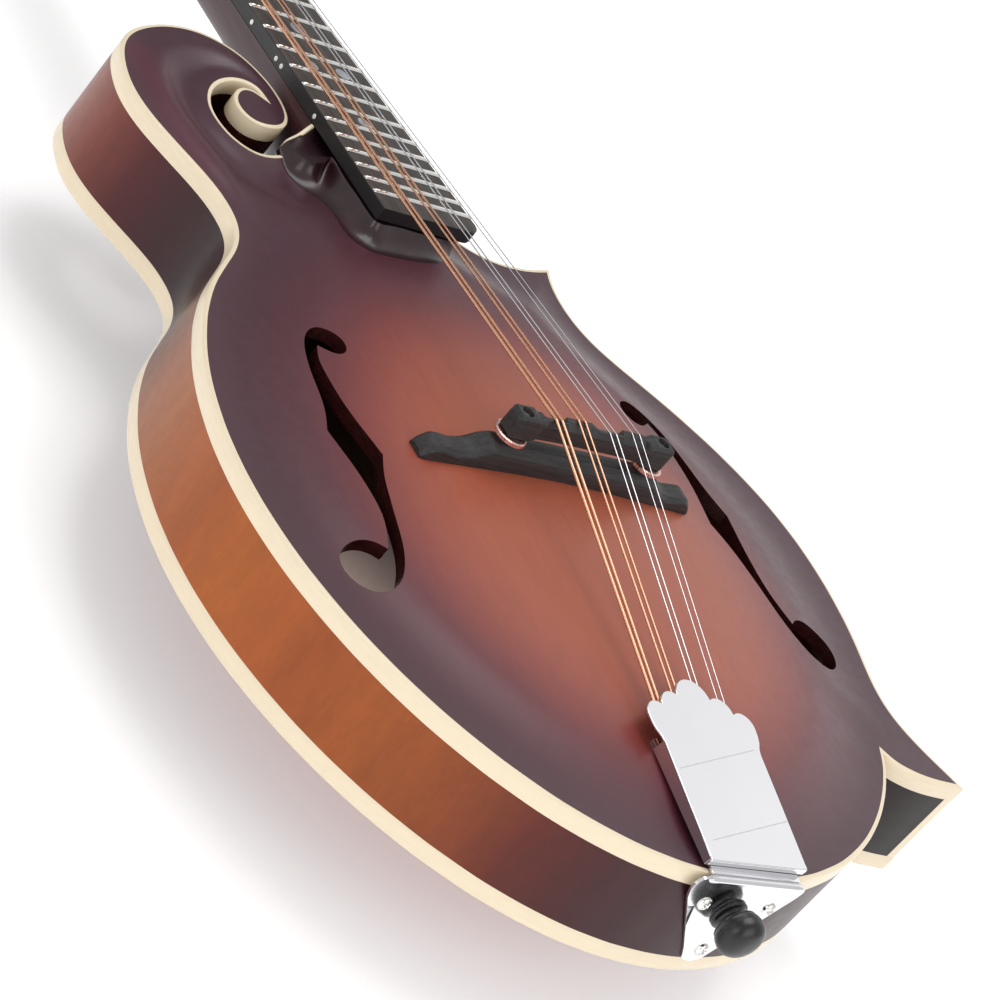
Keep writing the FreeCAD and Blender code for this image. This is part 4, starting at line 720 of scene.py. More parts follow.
g_step = 3.4
vo, fo = fill(in_b, [], g_step)
zb, _ = back_z(vo)
v, f, k = slab(vo, fo, zb + PLATE_T, zb)
km = [{0: 1, 1: 0, 2: 0}[q] for q in k]
back = Geo().add(v, f, km).make("back_carved_plate", [M["side"], M["inside"]], "root", "stained_maple", ("back_plate",), angle=40, recalc=False)
bv = verts_of(back)
rb = np.sqrt((bv[:, 0] / 88.0) ** 2 + ((bv[:, 1] + 25) / np.where(bv[:, 1] > -25, 104.0, 96.0)) ** 2)
set_paint(back, ramp(rb, BURST))


# bindings: a moulded band, section (inwards, height) with eased corners
def band(z_low, z_up, ease_up, ease_low, raise_fn):
    prof = []
    for a in np.linspace(0, math.pi / 2, 4):
        prof.append((ease_up * (1 - math.sin(a)), z_up - ease_up * (1 - math.cos(a))))
    sec = [(0.0, z_low + ease_low)] + [(p[0], p[1]) for p in prof] 
    sec = [(ease_low * 0.5, z_low + 0.0), (0.0, z_low + ease_low)] + [(ease_up * (1 - math.cos(a)), z_up - ease_up + ease_up * math.sin(a)) for a in np.linspace(0, math.pi / 2, 4)]
    sec += [(BINDING_T, z_up), (BINDING_T, z_low)]
    cache = {}
    rows = []
    for d, z in sec:
        key = round(d, 3)
        if key not in cache:
            cache[key] = inset(d) if d > 0 else OUT.copy()
        p = cache[key]
        zz = np.full(NO, z) + raise_fn(OUT[:, 0], OUT[:, 1])
        rows.append(np.column_stack([p, zz]))
    rings = [[rw[i] for rw in rows] for i in range(0, I_NECK + 1)]
    return loft(rings, True, True)


g = Geo()
v, f = band(Z_TB, 0.0, 0.55, 0.15, lift)
g.add(v, f)
# climb of the band from the shoulder to the underside of the board
cl = spline([(-31.2, 143.5, 3.6), (-28.6, 145.6, 4.3), (-25.4, 146.9, 6.1), (-22.8, 148.3, 7.9), (-20.5, 149.7, 9.1)], 0.6)
rings = []
for i, c in enumerate(cl):
    a, b = cl[max(0, i - 1)], cl[min(len(cl) - 1, i + 1)]
    t = (b - a) / np.linalg.norm(b - a)
    s = np.cross(t, (0, 0, 1.0))
    s /= np.linalg.norm(s)
    u = np.cross(s, t)
    w = 0.75
    rings.append([c + s * w * q[0] + u * q[1] for q in ((-1, -2.6), (1, -2.6), (1, -0.25), (0.55, 0.15), (-0.55, 0.15), (-1, -0.25))])
v, f = loft(rings)
g.add(v, f)


# cream guards on the tips of the two points
def guard(i_tip, reach):
    k0, k1 = i_tip, i_tip
    while np.linalg.norm(OUT[k0] - OUT[i_tip]) < reach:
        k0 -= 1
    while np.linalg.norm(OUT[k1] - OUT[i_tip]) < reach:
        k1 += 1
    pts = [OUT[k0] - n_prev[k0] * 0.06, OUT[i_tip] + bis[i_tip] * 0.25, OUT[k1] - n_next[k1] * 0.06, (OUT[k0] + OUT[k1]) / 2 + bis[i_tip] * 0.8]
    return prism(pts, Z_BT - 0.02, Z_TB + 0.02, lambda x, y, z: (x, y, z))


for it in (I_TREB, I_SH):
    g.add(*guard(it, 3.3))
top_bind = g.make("top_binding_band", [M["bind"]], "root", "cream_binding", ("top_binding",), angle=50)
v, f = band(-Z_BT, -Z_BB, 0.55, 0.15, lambda x, y: 0.0 * x)
v[:, 2] *= -1
Geo().add(v, f).make("back_binding_band", [M["bind"]], "root", "cream_binding", ("back_binding",), angle=50)

# bent sides, with a seam's shadow beside each binding
RIBC = [(-38, 193.2, (150, 92, 76)), (-55.9, 195.2, (142, 86, 72)), (-72.6, 186.9, (138, 86, 74)), (-82.7, 171.8, (136, 80, 68)), (-85.8, 153.9, (118, 66, 58)), (-81.2, 136.3, (84, 48, 50)), (-73.7, 119.1, (68, 44, 50)),
        (-71.4, 101.1, (58, 44, 48)), (-79.7, 85.1, (70, 52, 50)), (-92.5, 71.2, (96, 62, 50)), (-103.4, 56.5, (132, 84, 60)), (-112.2, 40.3, (150, 92, 62)), (-118.8, 22.9, (156, 94, 58)), (-122.8, 4.8, (158, 90, 54)),
        (-124.2, -13.6, (160, 88, 50)), (-122.8, -32.0, (168, 94, 48)), (-118.9, -50, (164, 90, 50)), (-112.5, -67.3, (152, 82, 48)), (-103.9, -83.7, (152, 84, 48)), (-93.2, -98.8, (146, 80, 48)), (-80.5, -112.5, (130, 70, 44)),
        (-66.1, -124.3, (100, 52, 44)), (-50.2, -133.7, (78, 42, 44)), (-33.2, -140.5, (68, 44, 50)), (-15, -144.4, (66, 44, 50)), (20, -143.4, (64, 44, 50)), (40, -138, (64, 44, 50)), (60, -128, (64, 43, 48)), (100, -88, (58, 42, 47)),
        (120, -97, (52, 42, 47)), (132, -97, (52, 42, 47)), (119, -65, (60, 42, 46)), (125, -30, (120, 66, 48)), (126, 0, (152, 86, 50)), (113, 40, (150, 86, 52)), (92, 68, (100, 60, 48)), (75, 95, (60, 44, 48)), (78, 120, (52, 40, 45)), (50, 116, (56, 40, 45)), (25, 136, (56, 40, 45))]
rib_key = [near_i(x, y, 0, I_NECK) for x, y, c in RIBC]
order = np.argsort(rib_key)
ks = np.array(rib_key)[order]
kc = np.array([lin(RIBC[i][2]) for i in order])
kc = np.maximum(kc - 0.022, 0.006)
rib_col = np.column_stack([np.interp(np.arange(NO), ks, kc[:, i]) for i in range(3)])


def rib(name, i0, i1, mat, replaces, slot, d0=0.04, d1=RIB_T, z0=Z_BT, z1=Z_TB):
    a, b = inset(d0), inset(d1)
    nz = 9
    rings = []
    for i in range(i0, i1 + 1):
        o, q = a[i], b[i]
        zl = z1 + float(lift(OUT[i, 0], OUT[i, 1]))
        ring = [(o[0], o[1], z0 + (zl - z0) * j / nz) for j in range(nz + 1)] + [(q[0], q[1], zl), (q[0], q[1], z0)]
        rings.append(ring)
    v, f = loft(rings)
    ob = Geo().add(v, f).make(name, [mat], "root", slot, replaces, angle=40)
    col = np.repeat(rib_col[i0:i1 + 1], nz + 3, axis=0)
    if len(ob.data.vertices) == len(col):
        set_paint(ob, col)
    return ob


rib("rib_scroll_side", I_BTN, I_WAIST, M["side"], ("rib_scroll",), "stained_maple")
rib("rib_bass_side", I_WAIST, I_TAIL, M["side"], ("rib_bass",), "stained_maple")
rib("rib_tail_side", I_TAIL, I_POINT, M["side"], ("rib_tail_treble",), "stained_maple")
rib("rib_point_side", I_POINT, I_TREB - 2, M["side"], ("rib_tail_treble",), "stained_maple")
rib("rib_waist_side", I_TREB + 2, I_SH - 2, M["side"], ("rib_waist_treble",), "stained_maple")
rib("rib_upper_side", I_SH + 2, I_NECK, M["side"], ("rib_upper_treble",), "stained_maple")

# head block with the core of the scroll
ib, ic = inset(0.04), inset(RIB_T + 0.1)
i_w = next(i for i in range(I_BTN, I_POINT) if OUT[i, 1] < 112)
i_t = next(i for i in range(I_TREB, I_SH) if OUT[i, 1] > 112)
poly = np.concatenate([ib[0:I_BTN + 1], ic[I_BTN + 1:i_w + 1], ic[i_t:I_NECK + 1]])
vo, fo = fill(poly, [], 9.0)
v, f, k = slab(vo, fo, Z_TB + lift(vo[:, 0], vo[:, 1]) * 0.98, np.full(len(vo), Z_BT))
Geo().add(v, f).make("head_block_core", [M["cut"]], "root", "inner_wood", ("head_block",), angle=40, recalc=False)


# ------------------------------------------------ neck, board and headstock
def board_z(y):
    return BOARD_Z15 - math.tan(BOARD_TILT) * (y - 147.74)


def board_w(y):
    return (BOARD_W15 - BOARD_TAPER * (y - 147.74)) / 2.0


def fret_y(n):
    return SCALE / 2 ** (n / 12.0) * math.cos(BOARD_TILT)


H0 = (0.0, NUT_Y + 3.4, board_z(NUT_Y) - 2.4)
cT, sT = math.cos(HEAD_TILT), math.sin(HEAD_TILT)


def head(x, s, n):
    return (x, H0[1] + s * cT + n * sT, H0[2] - s * sT + n * cT)


# carved support that flares out from under the board
pairs = [((-33.0, 142.0, 5.4), (-34.5, 141.4, 4.4)), ((-32.4, 136.5, 6.4), (-35.4, 135.2, 4.8)), ((-31.0, 131.8, 7.4), (-34.6, 129.6, 5.4)),
         ((-27.6, 130.6, 8.4), (-31.4, 124.8, 6.0)), ((-23.6, 132.2, 8.9), (-29.2, 122.2, 6.3)), ((-20.9, 134.6, 9.2), (-27.9, 120.2, 6.5)),
         ((-20.8, 126.0, 9.9), (-27.4, 115.6, 6.9)), ((-21.0, 115.0, 10.8), (-28.2, 106.5, 7.4)), ((-21.2, 105.5, 11.5), (-27.2, 98.4, 8.0)),
         ((-20.6, 102.5, 11.8), (-23.0, 94.8, 8.3)), ((-13.0, 102.2, 11.8), (-16.0, 93.7, 8.6)), ((-4.0, 102.2, 11.8), (-5.0, 94.4, 8.7)),
         ((6.0, 102.3, 11.8), (7.2, 96.9, 8.6)), ((14.5, 103.4, 11.7), (16.4, 102.0, 8.2)), ((19.4, 107.4, 11.4), (21.8, 108.0, 7.6)),
         ((20.7, 116.0, 10.7), (23.6, 117.0, 6.9)), ((20.6, 130.0, 9.6), (23.0, 131.0, 5.9)), ((20.2, 145.5, 8.4), (21.6, 145.6, 4.6)),
         ((10.0, 148.4, 8.2), (10.0, 148.6, 4.0)), ((-10.0, 148.4, 8.2), (-10.0, 148.6, 4.0)), ((-20.4, 148.9, 8.2), (-20.6, 149.0, 5.2)), ((-26.6, 145.9, 5.8), (-27.2, 146.0, 4.6))]
top_l = spline([p[0] for p in pairs[:18]], 1.0)
foot_l = spline([p[1] for p in pairs[:18]], 1.0)


def resample(p, n):
    d = np.concatenate([[0], np.cumsum(np.linalg.norm(np.diff(p, axis=0), axis=1))])
    t = np.linspace(0, d[-1], n)
    return np.column_stack([np.interp(t, d, p[:, i]) for i in range(p.shape[1])])


def chord(ctrl, n):
    """Spline through control points, the same share of points in each span."""
    ctrl = np.array(ctrl, float)
    k = n // (len(ctrl) - 1)
    dense = spline(ctrl, 0.15)
    idx = [int(np.argmin(np.linalg.norm(dense - c, axis=1))) for c in ctrl]
    out = []
    for a, b in zip(idx[:-1], idx[1:]):
        b = max(b, a + 1)
        for j in range(k):
            out.append(dense[int(a + (b - a) * j / k)])
    out.append(dense[idx[-1]])
    return np.array(out)


tl = chord([p[0] for p in pairs[:18]], 17 * 8)
fl_ = chord([p[1] for p in pairs[:18]], 17 * 8)
tl = np.concatenate([tl, [p[0] for p in pairs[18:]]])
fl_ = np.concatenate([fl_, [p[1] for p in pairs[18:]]])
zf, _ = top_z(fl_[:, :2])
fl_[:, 2] = zf + 0.12
deep = fl_.copy()
deep[:, 2] = zf - 1.6
rings = [deep, fl_]
for s in np.linspace(0.06, 1.0, 12):
    e = 1 - (1 - s) ** 1.25
    w = s ** 1.9
    q = fl_ + (tl - fl_) * np.array([1, 1, 0]) * e
    q[:, 2] = fl_[:, 2] + (tl[:, 2] - fl_[:, 2]) * w
    rings.append(q)
v, f = loft(rings)
ny = len(tl)
kinds = [0] * len(f)
kinds[-1] = 1
Geo().add(v, f, kinds).make("riser_under_board", [M["riser"], M["riser_top"]], "root", "riser_wood", ("fretboard_riser",), angle=32)

# neck: one flowing piece from the heel to the head
heel_depth = board_z(NECK_Y) - BOARD_T - Z_BB
NP = np.array([(NECK_Y, heel_depth, 0.80), (151.5, heel_depth - 0.4, 0.80), (154.0, 49.2, 0.80), (157.0, 44.5, 0.81), (161.0, 39.5, 0.83), (165.0, 34.5, 0.86), (169.5, 30.0, 0.90), (175.0, 26.0, 0.94),
               (182.0, 22.6, 0.97), (190.0, 20.3, 0.99), (202.0, 18.6, 1.0), (222.0, 17.6, 1.0), (252.0, 16.8, 1.0), (288.0, 16.0, 1.0), (320.0, 15.4, 1.0), (340.0, 15.2, 1.0), (353.0, 15.2, 1.0), (361.0, 14.9, 1.0)])
rings = []
for i, (y, dep, bel) in enumerate(spline(NP, 3.0)):
    w = board_w(min(y, NUT_Y))
    z = board_z(y) - BOARD_T
    m = 17
    ctrl = [(-w, z), (-w * (0.98 - 0.10 * (1 - bel)), z - dep * 0.34), (-w * 0.80 * bel, z - dep * 0.72), (-w * 0.42 * bel, z - dep * 0.94), (0, z - dep),
            (w * 0.42 * bel, z - dep * 0.94), (w * 0.80 * bel, z - dep * 0.72), (w * (0.98 - 0.10 * (1 - bel)), z - dep * 0.34), (w, z)]
    c = resample(spline(ctrl, 0.4), 40)
    rings.append([(q[0], y, q[1]) for q in c])
g = Geo()
v, f = loft(rings)
g.add(v, f)
HR = [(13.9, -0.5), (15.2, 8), (20.5, 17), (28.5, 24.5), (32.6, 33), (33.0, 45), (31.6, 70), (30.4, 95), (30.6, 120), (33.2, 140), (34.6, 152), (31.0, 161), (22.5, 163.2), (13.0, 161.6), (5.5, 164.4), (0, 168.0)]
hr = spline(HR, 1.0)
hl = [(-x, s) for x, s in hr[::-1][1:]]
hpoly = [tuple(q) for q in hr] + hl


def shrink(poly, d):
    p = np.array(poly)
    a, b = np.roll(p, 1, axis=0), np.roll(p, -1, axis=0)
    t = b - a
    t /= np.linalg.norm(t, axis=1)[:, None]
    q = p + np.stack([-t[:, 1], t[:, 0]], 1) * d
    q[0], q[-1] = p[0] + np.array([-d, 0]), p[-1] + np.array([d, 0])
    return q


def rounded_slab(poly, n0, n1, r, to, low=True, up=True):
    rings = []
    k = 4
    if low:
        for a in np.linspace(0, math.pi / 2, k + 1)[:-1]:
            rings.append((r * (1 - math.sin(a)), n0 + r * (1 - math.cos(a)) if False else n0 + r * (1 - math.cos(a))))
        rings = [(r * (1 - math.sin(a)), n0 + r * (1 - math.cos(a))) for a in np.linspace(0, math.pi / 2, k + 1)]
    else:
        rings = [(0.0, n0)]
    if up:
        rings += [(r * (1 - math.cos(a)), n1 - r * (1 - math.sin(a))) for a in np.linspace(0, math.pi / 2, k + 1)]
    else:
        rings.append((0.0, n1))
    out = []
    for d, n in rings:
        q = shrink(poly, d) if d > 1e-6 else np.array(poly)
        out.append([to(x, s, n) for x, s in q])
    return loft(out)


v, f = rounded_slab(hpoly, -15.0, -2.02, 1.8, head, True, False)
g.add(v, f)
g.make("neck_shaft_and_head", [M["neck"]], "root", "neck_wood", ("neck",), angle=50)
v, f = rounded_slab(hpoly, -1.98, 0.0, 0.5, head, False, True)
Geo().add(v, f).make("headstock_face", [M["veneer"]], "root", "black_veneer", ("headstock_veneer",), angle=40)
hc = [(-13.6, 149.4), (13.6, 149.4), (13.2, 152.5), (11.6, 155.0), (8.0, 157.4), (4.0, 158.5), (0, 158.8), (-4.0, 158.5), (-8.0, 157.4), (-11.6, 155.0), (-13.2, 152.5)]
Geo().add(*prism(hc, Z_BB - 1.6, Z_BB - 0.1, lambda x, y, z: (x, y, z))).make("heel_cap_plate", [M["bind"]], "root", "neck_wood", ("heel_cap",), bevel=0.4)

# fretboard
bw0, bw1 = board_w(BOARD_END_Y), board_w(NUT_Y)
bp = [(-bw0, BOARD_END_Y), (bw0 - 5.5, BOARD_END_Y)]
bp += [(bw0 - 5.5 + 5.5 * math.sin(a), BOARD_END_Y + 5.5 - 5.5 * math.cos(a)) for a in np.linspace(0, math.pi / 2, 9)[1:]]
bp += [(bw1, NUT_Y), (-bw1, NUT_Y)]
bt = [(x, y, board_z(y)) for x, y in bp]
bb = [(x, y, board_z(y) - BOARD_T) for x, y in bp]
n = len(bp)
f = [tuple(range(n)), tuple(range(2 * n - 1, n - 1, -1))] + [(i, i + n, (i + 1) % n + n, (i + 1) % n) for i in range(n)]
# the board's sides get the darker copy of its wood, which is painted shade
fb = Geo().add(bt + bb, f, [0] + [1] * (n + 1)).make("fingerboard", [M["board"], M["boardside"]], "root", "rosewood", ("fretboard",), bevel=0.35)

tilt = (0.0, math.sin(BOARD_TILT), math.cos(BOARD_TILT))
g, gs = Geo(), Geo()
for nf in (3, 5, 7, 10, 12, 15):
    y = 0.5 * (fret_y(nf) + fret_y(nf - 1))
    for x in ((-7.0, 7.0) if nf == 12 else (0.0,)):
        rr = 3.2 if nf < 12 else 2.8
        g.add(*lathe([(0, -1.1), (rr, -1.1), (rr, 0.0), (rr - 0.06, 0.035), (rr * 0.5, 0.045), (0, 0.05)], (x, y, board_z(y)), tilt, 40))
    for dy in ((-2.1, 2.1) if nf == 12 else (0.0,)):
        w = board_w(y + dy)
        gs.add(*lathe([(0, -1.2), (0.9, -1.2), (0.9, 0.0), (0.8, 0.06), (0, 0.09)], (-w, y + dy, board_z(y + dy) - 2.9), (-1, 0, 0), 20))
g.make("face_dot_inlays", [M["pearl"]], "root", "pearl", ("face_dots",), angle=40)
gs.make("side_dot_inlays", [M["sidedot"]], "root", "white_dot", ("side_dots",), angle=40)

g = Geo()
ty, tz = math.cos(BOARD_TILT), -math.sin(BOARD_TILT)
for nf in range(1, 21):
    y0 = fret_y(nf)
    w = board_w(y0)
    z0 = board_z(y0)
    rings = []
    for x, sh in ((-w + 0.02, 0.45), (-w + 0.25, 0.80), (-w + 0.75, 1.0), (0.0, 1.0), (w - 0.75, 1.0), (w - 0.25, 0.80), (w - 0.02, 0.45)):
        ring = [(x, -0.62, 0.0), (x, -0.80 * (0.6 + 0.4 * sh), 0.06)]
        for a in np.linspace(-70, 70, 9):
            ring.append((x, 0.80 * math.sin(math.radians(a)) / math.sin(math.radians(72)), 0.10 + 0.92 * sh * (math.cos(math.radians(a)) - 0.30) / 0.70))
        ring += [(x, 0.80 * (0.6 + 0.4 * sh), 0.06), (x, 0.62, 0.0)]
        rings.append([(q[0], y0 + q[1] * ty + q[2] * tilt[1], z0 + q[1] * tz + q[2] * tilt[2]) for q in ring])
    g.add(*loft(rings))
g.make("fret_wires", [M["fret"]], "root", "nickel_silver", ("frets",), angle=40)

# nut with its string slots
g = Geo()
rings = []
xs = [-13.85]
for xn, rn in zip(NUT_X, STRING_R):
    xs += [xn - rn - 0.12, xn - rn * 0.7, xn, xn + rn * 0.7, xn + rn + 0.12]
xs += [13.85]
for x in xs:
    cut = 0.0
    for xn, rn in zip(NUT_X, STRING_R):
        if abs(x - xn) < rn + 0.05:
            cut = max(cut, rn * 1.15 * (1 - 0.35 * (abs(x - xn) / (rn + 0.05)) ** 2) + 0.05)
    bz = board_z(NUT_Y)
    ring = [(x, NUT_Y + 0.05, bz - 4.6), (x, NUT_Y + 0.05, bz + 1.35 - cut), (x, NUT_Y + 0.3, bz + 1.55 - cut), (x, NUT_Y + 1.5, bz + 1.35 - cut), (x, NUT_Y + 2.8, bz + 0.80 - cut), (x, NUT_Y + 3.4, bz + 0.30 - cut), (x, NUT_Y + 3.4, bz - 4.6)]
    rings.append(ring)
g.add(*loft(rings))
g.make("nut_slotted", [M["bone"]], "root", "bone", ("nut",), angle=35)

# truss rod cover and its screws, in the head's plane
cp = spline([(-5.0, 2.6), (-6.6, 7.0), (-8.0, 14.0), (-8.2, 19.0), (-6.6, 27.0), (-3.2, 34.6), (0, 38.4)], 0.8)
cpoly = [tuple(q) for q in cp[::-1]] + [(-x, s) for x, s in cp[1:]]
cpoly = cpoly[::-1] if sum((cpoly[i][0] * cpoly[(i + 1) % len(cpoly)][1] - cpoly[(i + 1) % len(cpoly)][0] * cpoly[i][1]) for i in range(len(cpoly))) < 0 else cpoly
v, f = prism(cpoly, 0.02, 1.75, head)
Geo().add(v, f).make("truss_cover_plate", [M["black"]], "root", "black_plastic", ("truss_rod_cover",), bevel=0.45, seg=3)
hn = np.array(head(0, 0, 1)) - np.array(head(0, 0, 0))
g = Geo()
for i, (x, s) in enumerate(((0, 33.5), (-5.6, 6.0), (5.6, 6.0))):
    g.add(*screw_head(head(x, s, 1.75), hn, 1.75, 0.8, 0.3 + i))
g.make("truss_cover_screw_heads", [M["screw"]], "root", "screw_steel", ("truss_cover_screws",), angle=50)


# -------------------------------------------------------------------- bridge
def base_up(x):
    """Upper edge of the carved base, with its scrolled ends."""
    t = np.array([(0, 18.75), (30, 18.75), (34.6, 18.7), (36.2, 17.6), (38.5, 15.6), (41.5, 13.9), (45.5, 13.2), (49, 13.5), (52.2, 13.9), (54.4, 13.3), (56.6, 11.3), (58.0, 9.4)])
    return float(np.interp(abs(x), t[:, 0], t[:, 1]))


def base_half(x):
    t = np.array([(0, 4.95), (30, 4.95), (38, 4.8), (46, 4.45), (53, 4.1), (56.5, 3.7), (57.8, 3.2)])
    return float(np.interp(abs(x), t[:, 0], t[:, 1]))


xs = sorted(set([-57.8, 57.8] + [round(v, 3) for v in np.linspace(-57.0, 57.0, 77)] + [s * v for s in (-1, 1) for v in (37.5, 41.0, 53.6, 56.4)]))
rings = []
for x in xs:
    hw = base_half(x)
    zu = base_up(x)
    edge = float(np.interp(abs(x), [0, 34.5, 37.5, 42, 50], [2.5, 2.4, 2.2, 1.8, 1.5]))
    ys = [-hw, -hw, -hw + edge * 0.25, -hw + edge, hw - edge, hw - edge * 0.25, hw, hw]
    low = [float(top_z(np.array([(x, yy)]))[0][0]) + 0.06 for yy in (-hw, 0.0, hw)]
    mid = zu - float(np.interp(abs(x), [0, 34.5, 38.0, 43, 50], [3.6, 3.6, 2.5, 1.6, 1.5]))
    mid = max(mid, low[0] + 0.5)
    zu = max(zu, mid + 0.4)
    ring = [(x, -hw, low[0]), (x, -hw, mid), (x, -hw + 0.25, mid + (zu - mid) * 0.35), (x, -hw + edge, zu), (x, hw - edge, zu), (x, hw - 0.25, mid + (zu - mid) * 0.35), (x, hw, mid), (x, hw, low[2]), (x, 0.0, low[1])]
    rings.append(ring)
Geo().add(*loft(rings)).make("bridge_foot", [M["ebony"]], "root", "ebony", ("bridge_base",), angle=24)

g = Geo()
for sx in (-1, 1):
    pr = [(0, -6.0), (1.9, -6.0)]
    z = 14.6
    prof = [(0, 12.0), (1.62, 12.0), (1.62, 14.4)]
    while z < 28.9:
        prof += [(1.90, z), (1.62, z + 0.35)]
        z += 0.70
    prof += [(1.80, 29.2), (1.4, 29.4), (0, 29.4)]
    g.add(*lathe(prof, (sx * POST_X, 0, 0), (0, 0, 1), 32))
g.make("bridge_posts_threaded", [M["nickel"]], "root", "nickel_post", ("bridge_posts",), angle=50)

# thumbwheels, knurled round the edge
for nm, sx in (("bass", -1), ("treble", 1)):
    g = Geo()
    n = 144
    rings = []
    z0, z1 = 20.27, 21.93
    for r, z, kn in ((2.02, z0, 0), (5.05, z0, 0), (5.5, z0 + 0.28, 1), (5.5, z1 - 0.28, 1), (5.05, z1, 0), (2.02, z1, 0)):
        ring = []
        for k in range(n):
            a = 2 * math.pi * k / n
            rr = r + (0.085 * math.cos(36 * a * 1.0) if kn else 0.0)
            ring.append((sx * POST_X + rr * math.cos(a), rr * math.sin(a), z))
        rings.append(ring)
    v, f = loft(rings, True, False)
    m = len(rings)
    f += [((m - 1) * n + j, (m - 1) * n + (j + 1) % n, (j + 1) % n, j) for j in range(n)]
    g.add(v, f)
    g.make("thumbwheel_%s_knurled" % nm, [M["copper"]], "thumbwheel_" + nm, "copper_nickel", ("thumbwheel_" + nm,), angle=30)

# saddle: ears on the posts, thin compensated crest between them
YC = [(-33.5, 0.0), (-22.5, 0.0), (-21.0, -1.2), (-13.3, -1.2), (-12.0, 1.3), (-1.2, 1.3), (0.4, -1.2), (11.0, -1.2), (12.2, 1.4), (20.6, 1.4), (22.5, 0.0), (33.5, 0.0)]


def half_w(x):
    return float(np.interp(abs(x), [0, 21.5, 23.6, 25.0, 32.2, 33.45], [2.35, 2.35, 2.9, 3.38, 3.38, 2.5]))


def crest_y(x):
    return float(np.interp(x, [p[0] for p in YC], [p[1] for p in YC]))


lo_p = [(-33.45, 22.9), (-32.8, 22.05), (-25.0, 22.02), (-23.2, 22.3), (-21.0, 22.7), (-12, 23.1), (12, 23.1), (21.0, 22.7), (23.2, 22.3), (25.0, 22.02), (32.8, 22.05), (33.45, 22.9)]
hi_p = [(-33.45, 28.9), (-32.5, 30.3), (-25.6, 30.35), (-23.6, 29.5), (-21.4, 30.33), (21.4, 30.33), (23.6, 29.5), (25.6, 30.35), (32.5, 30.3), (33.45, 28.9)]
xs = sorted(set([p[0] for p in YC] + [p[0] for p in lo_p] + [p[0] for p in hi_p] + [round(v, 2) for v in np.arange(-33.2, 33.3, 0.7)] + [s * v for s in (-1, 1) for v in (26.7, 27.3, 28.2, 29.3, 30.4, 31.3, 31.9)]))
rings = []
for x in xs:
    a = float(np.interp(x, [p[0] for p in lo_p], [p[1] for p in lo_p]))
    b = float(np.interp(x, [p[0] for p in hi_p], [p[1] for p in hi_p]))
    hw = half_w(x)
    mid = abs(x) < 22.4
    cy = crest_y(x)
    if mid:
        notch = 0.0
        for xs_, rs_ in zip(STRING_X, STRING_R):
            if abs(x - xs_) < 0.9:
                notch = max(notch, 0.16 * (1 - abs(x - xs_) / 0.9))
        y1 = min(max(cy, -hw + 0.55), hw - 0.55)
        ring = [(x, -hw, a + 0.3), (x, -hw, b - 2.2), (x, -hw + 0.15, b - 1.9), (x, y1 - 0.5, b - 0.12 - notch), (x, y1, b - notch), (x, y1 + 0.5, b - 0.12 - notch), (x, hw - 0.15, b - 1.9), (x, hw, b - 2.2), (x, hw, a + 0.3), (x, hw - 0.3, a), (x, -hw + 0.3, a)]
    else:
        ring = [(x, -hw, a + 0.3), (x, -hw, b - 0.9), (x, -hw + 0.1, b - 0.6), (x, -hw + 0.7, b), (x, 0, b), (x, hw - 0.7, b), (x, hw - 0.1, b - 0.6), (x, hw, b - 0.9), (x, hw, a + 0.3), (x, hw - 0.3, a), (x, -hw + 0.3, a)]
    rings.append(ring)
sad = Geo().add(*loft(rings)).make("saddle_carved", [M["ebony"], M["cut"]], "bridge_saddle", "ebony", ("bridge_saddle",), angle=26)
hole = Geo()
for sx in (-1, 1):
    hole.add(*lathe([(0, 20.0), (2.05, 20.0), (2.05, 32.0), (0, 32.0)], (sx * POST_X, 0, 0), (0, 0, 1), 40))
hole_ob_me = bpy.data.meshes.new("post_holes")
hole_ob_me.from_pydata([tuple(p) for p in row(np.concatenate(hole.v))], [], hole.f)
cutter = bpy.data.objects.new("post_holes", hole_ob_me)
bpy.context.scene.collection.objects.link(cutter)
md = sad.modifiers.new("holes", "BOOLEAN")
md.operation, md.object, md.solver = "DIFFERENCE", cutter, "EXACT"
dg = bpy.context.evaluated_depsgraph_get()
new_me = bpy.data.meshes.new_from_object(sad.evaluated_get(dg))
sad.modifiers.clear()
sad.data = new_me
bpy.data.objects.remove(cutter)
sad.data.polygons.foreach_set("use_smooth", [True] * len(sad.data.polygons))
sad.data.set_sharp_from_angle(angle=math.radians(26))

# ----------------------------------------------------------------- tailpiece
pl = [(-21.6, 0.2), (20.5, 0.2), (21.5, -1.5), (20.6, -4.2), (9.0, -27.5), (6.6, -32.4), (3.2, -34.1), (-0.8, -33.4), (-4.2, -28.6), (-21.6, -8.0), (-23.4, -4.6), (-23.2, -1.6)]


def round_poly(pts, r, k=5):
    """Corners of a 2-D outline rounded."""
    out = []
    p = np.array(pts, float)
    n = len(p)
    for i in range(n):
        a, b, c = p[i - 1], p[i], p[(i + 1) % n]
        u, w = a - b, c - b
        lu, lw = np.linalg.norm(u), np.linalg.norm(w)
        u, w = u / lu, w / lw
        ang = math.acos(max(-1, min(1, float(u @ w))))
        d = min(r / math.tan(ang / 2), lu * 0.45, lw * 0.45)
        q0, q1 = b + u * d, b + w * d
        for t in np.linspace(0, 1, k):
            out.append(tuple((1 - t) ** 2 * q0 + 2 * t * (1 - t) * b + t * t * q1))
    return out


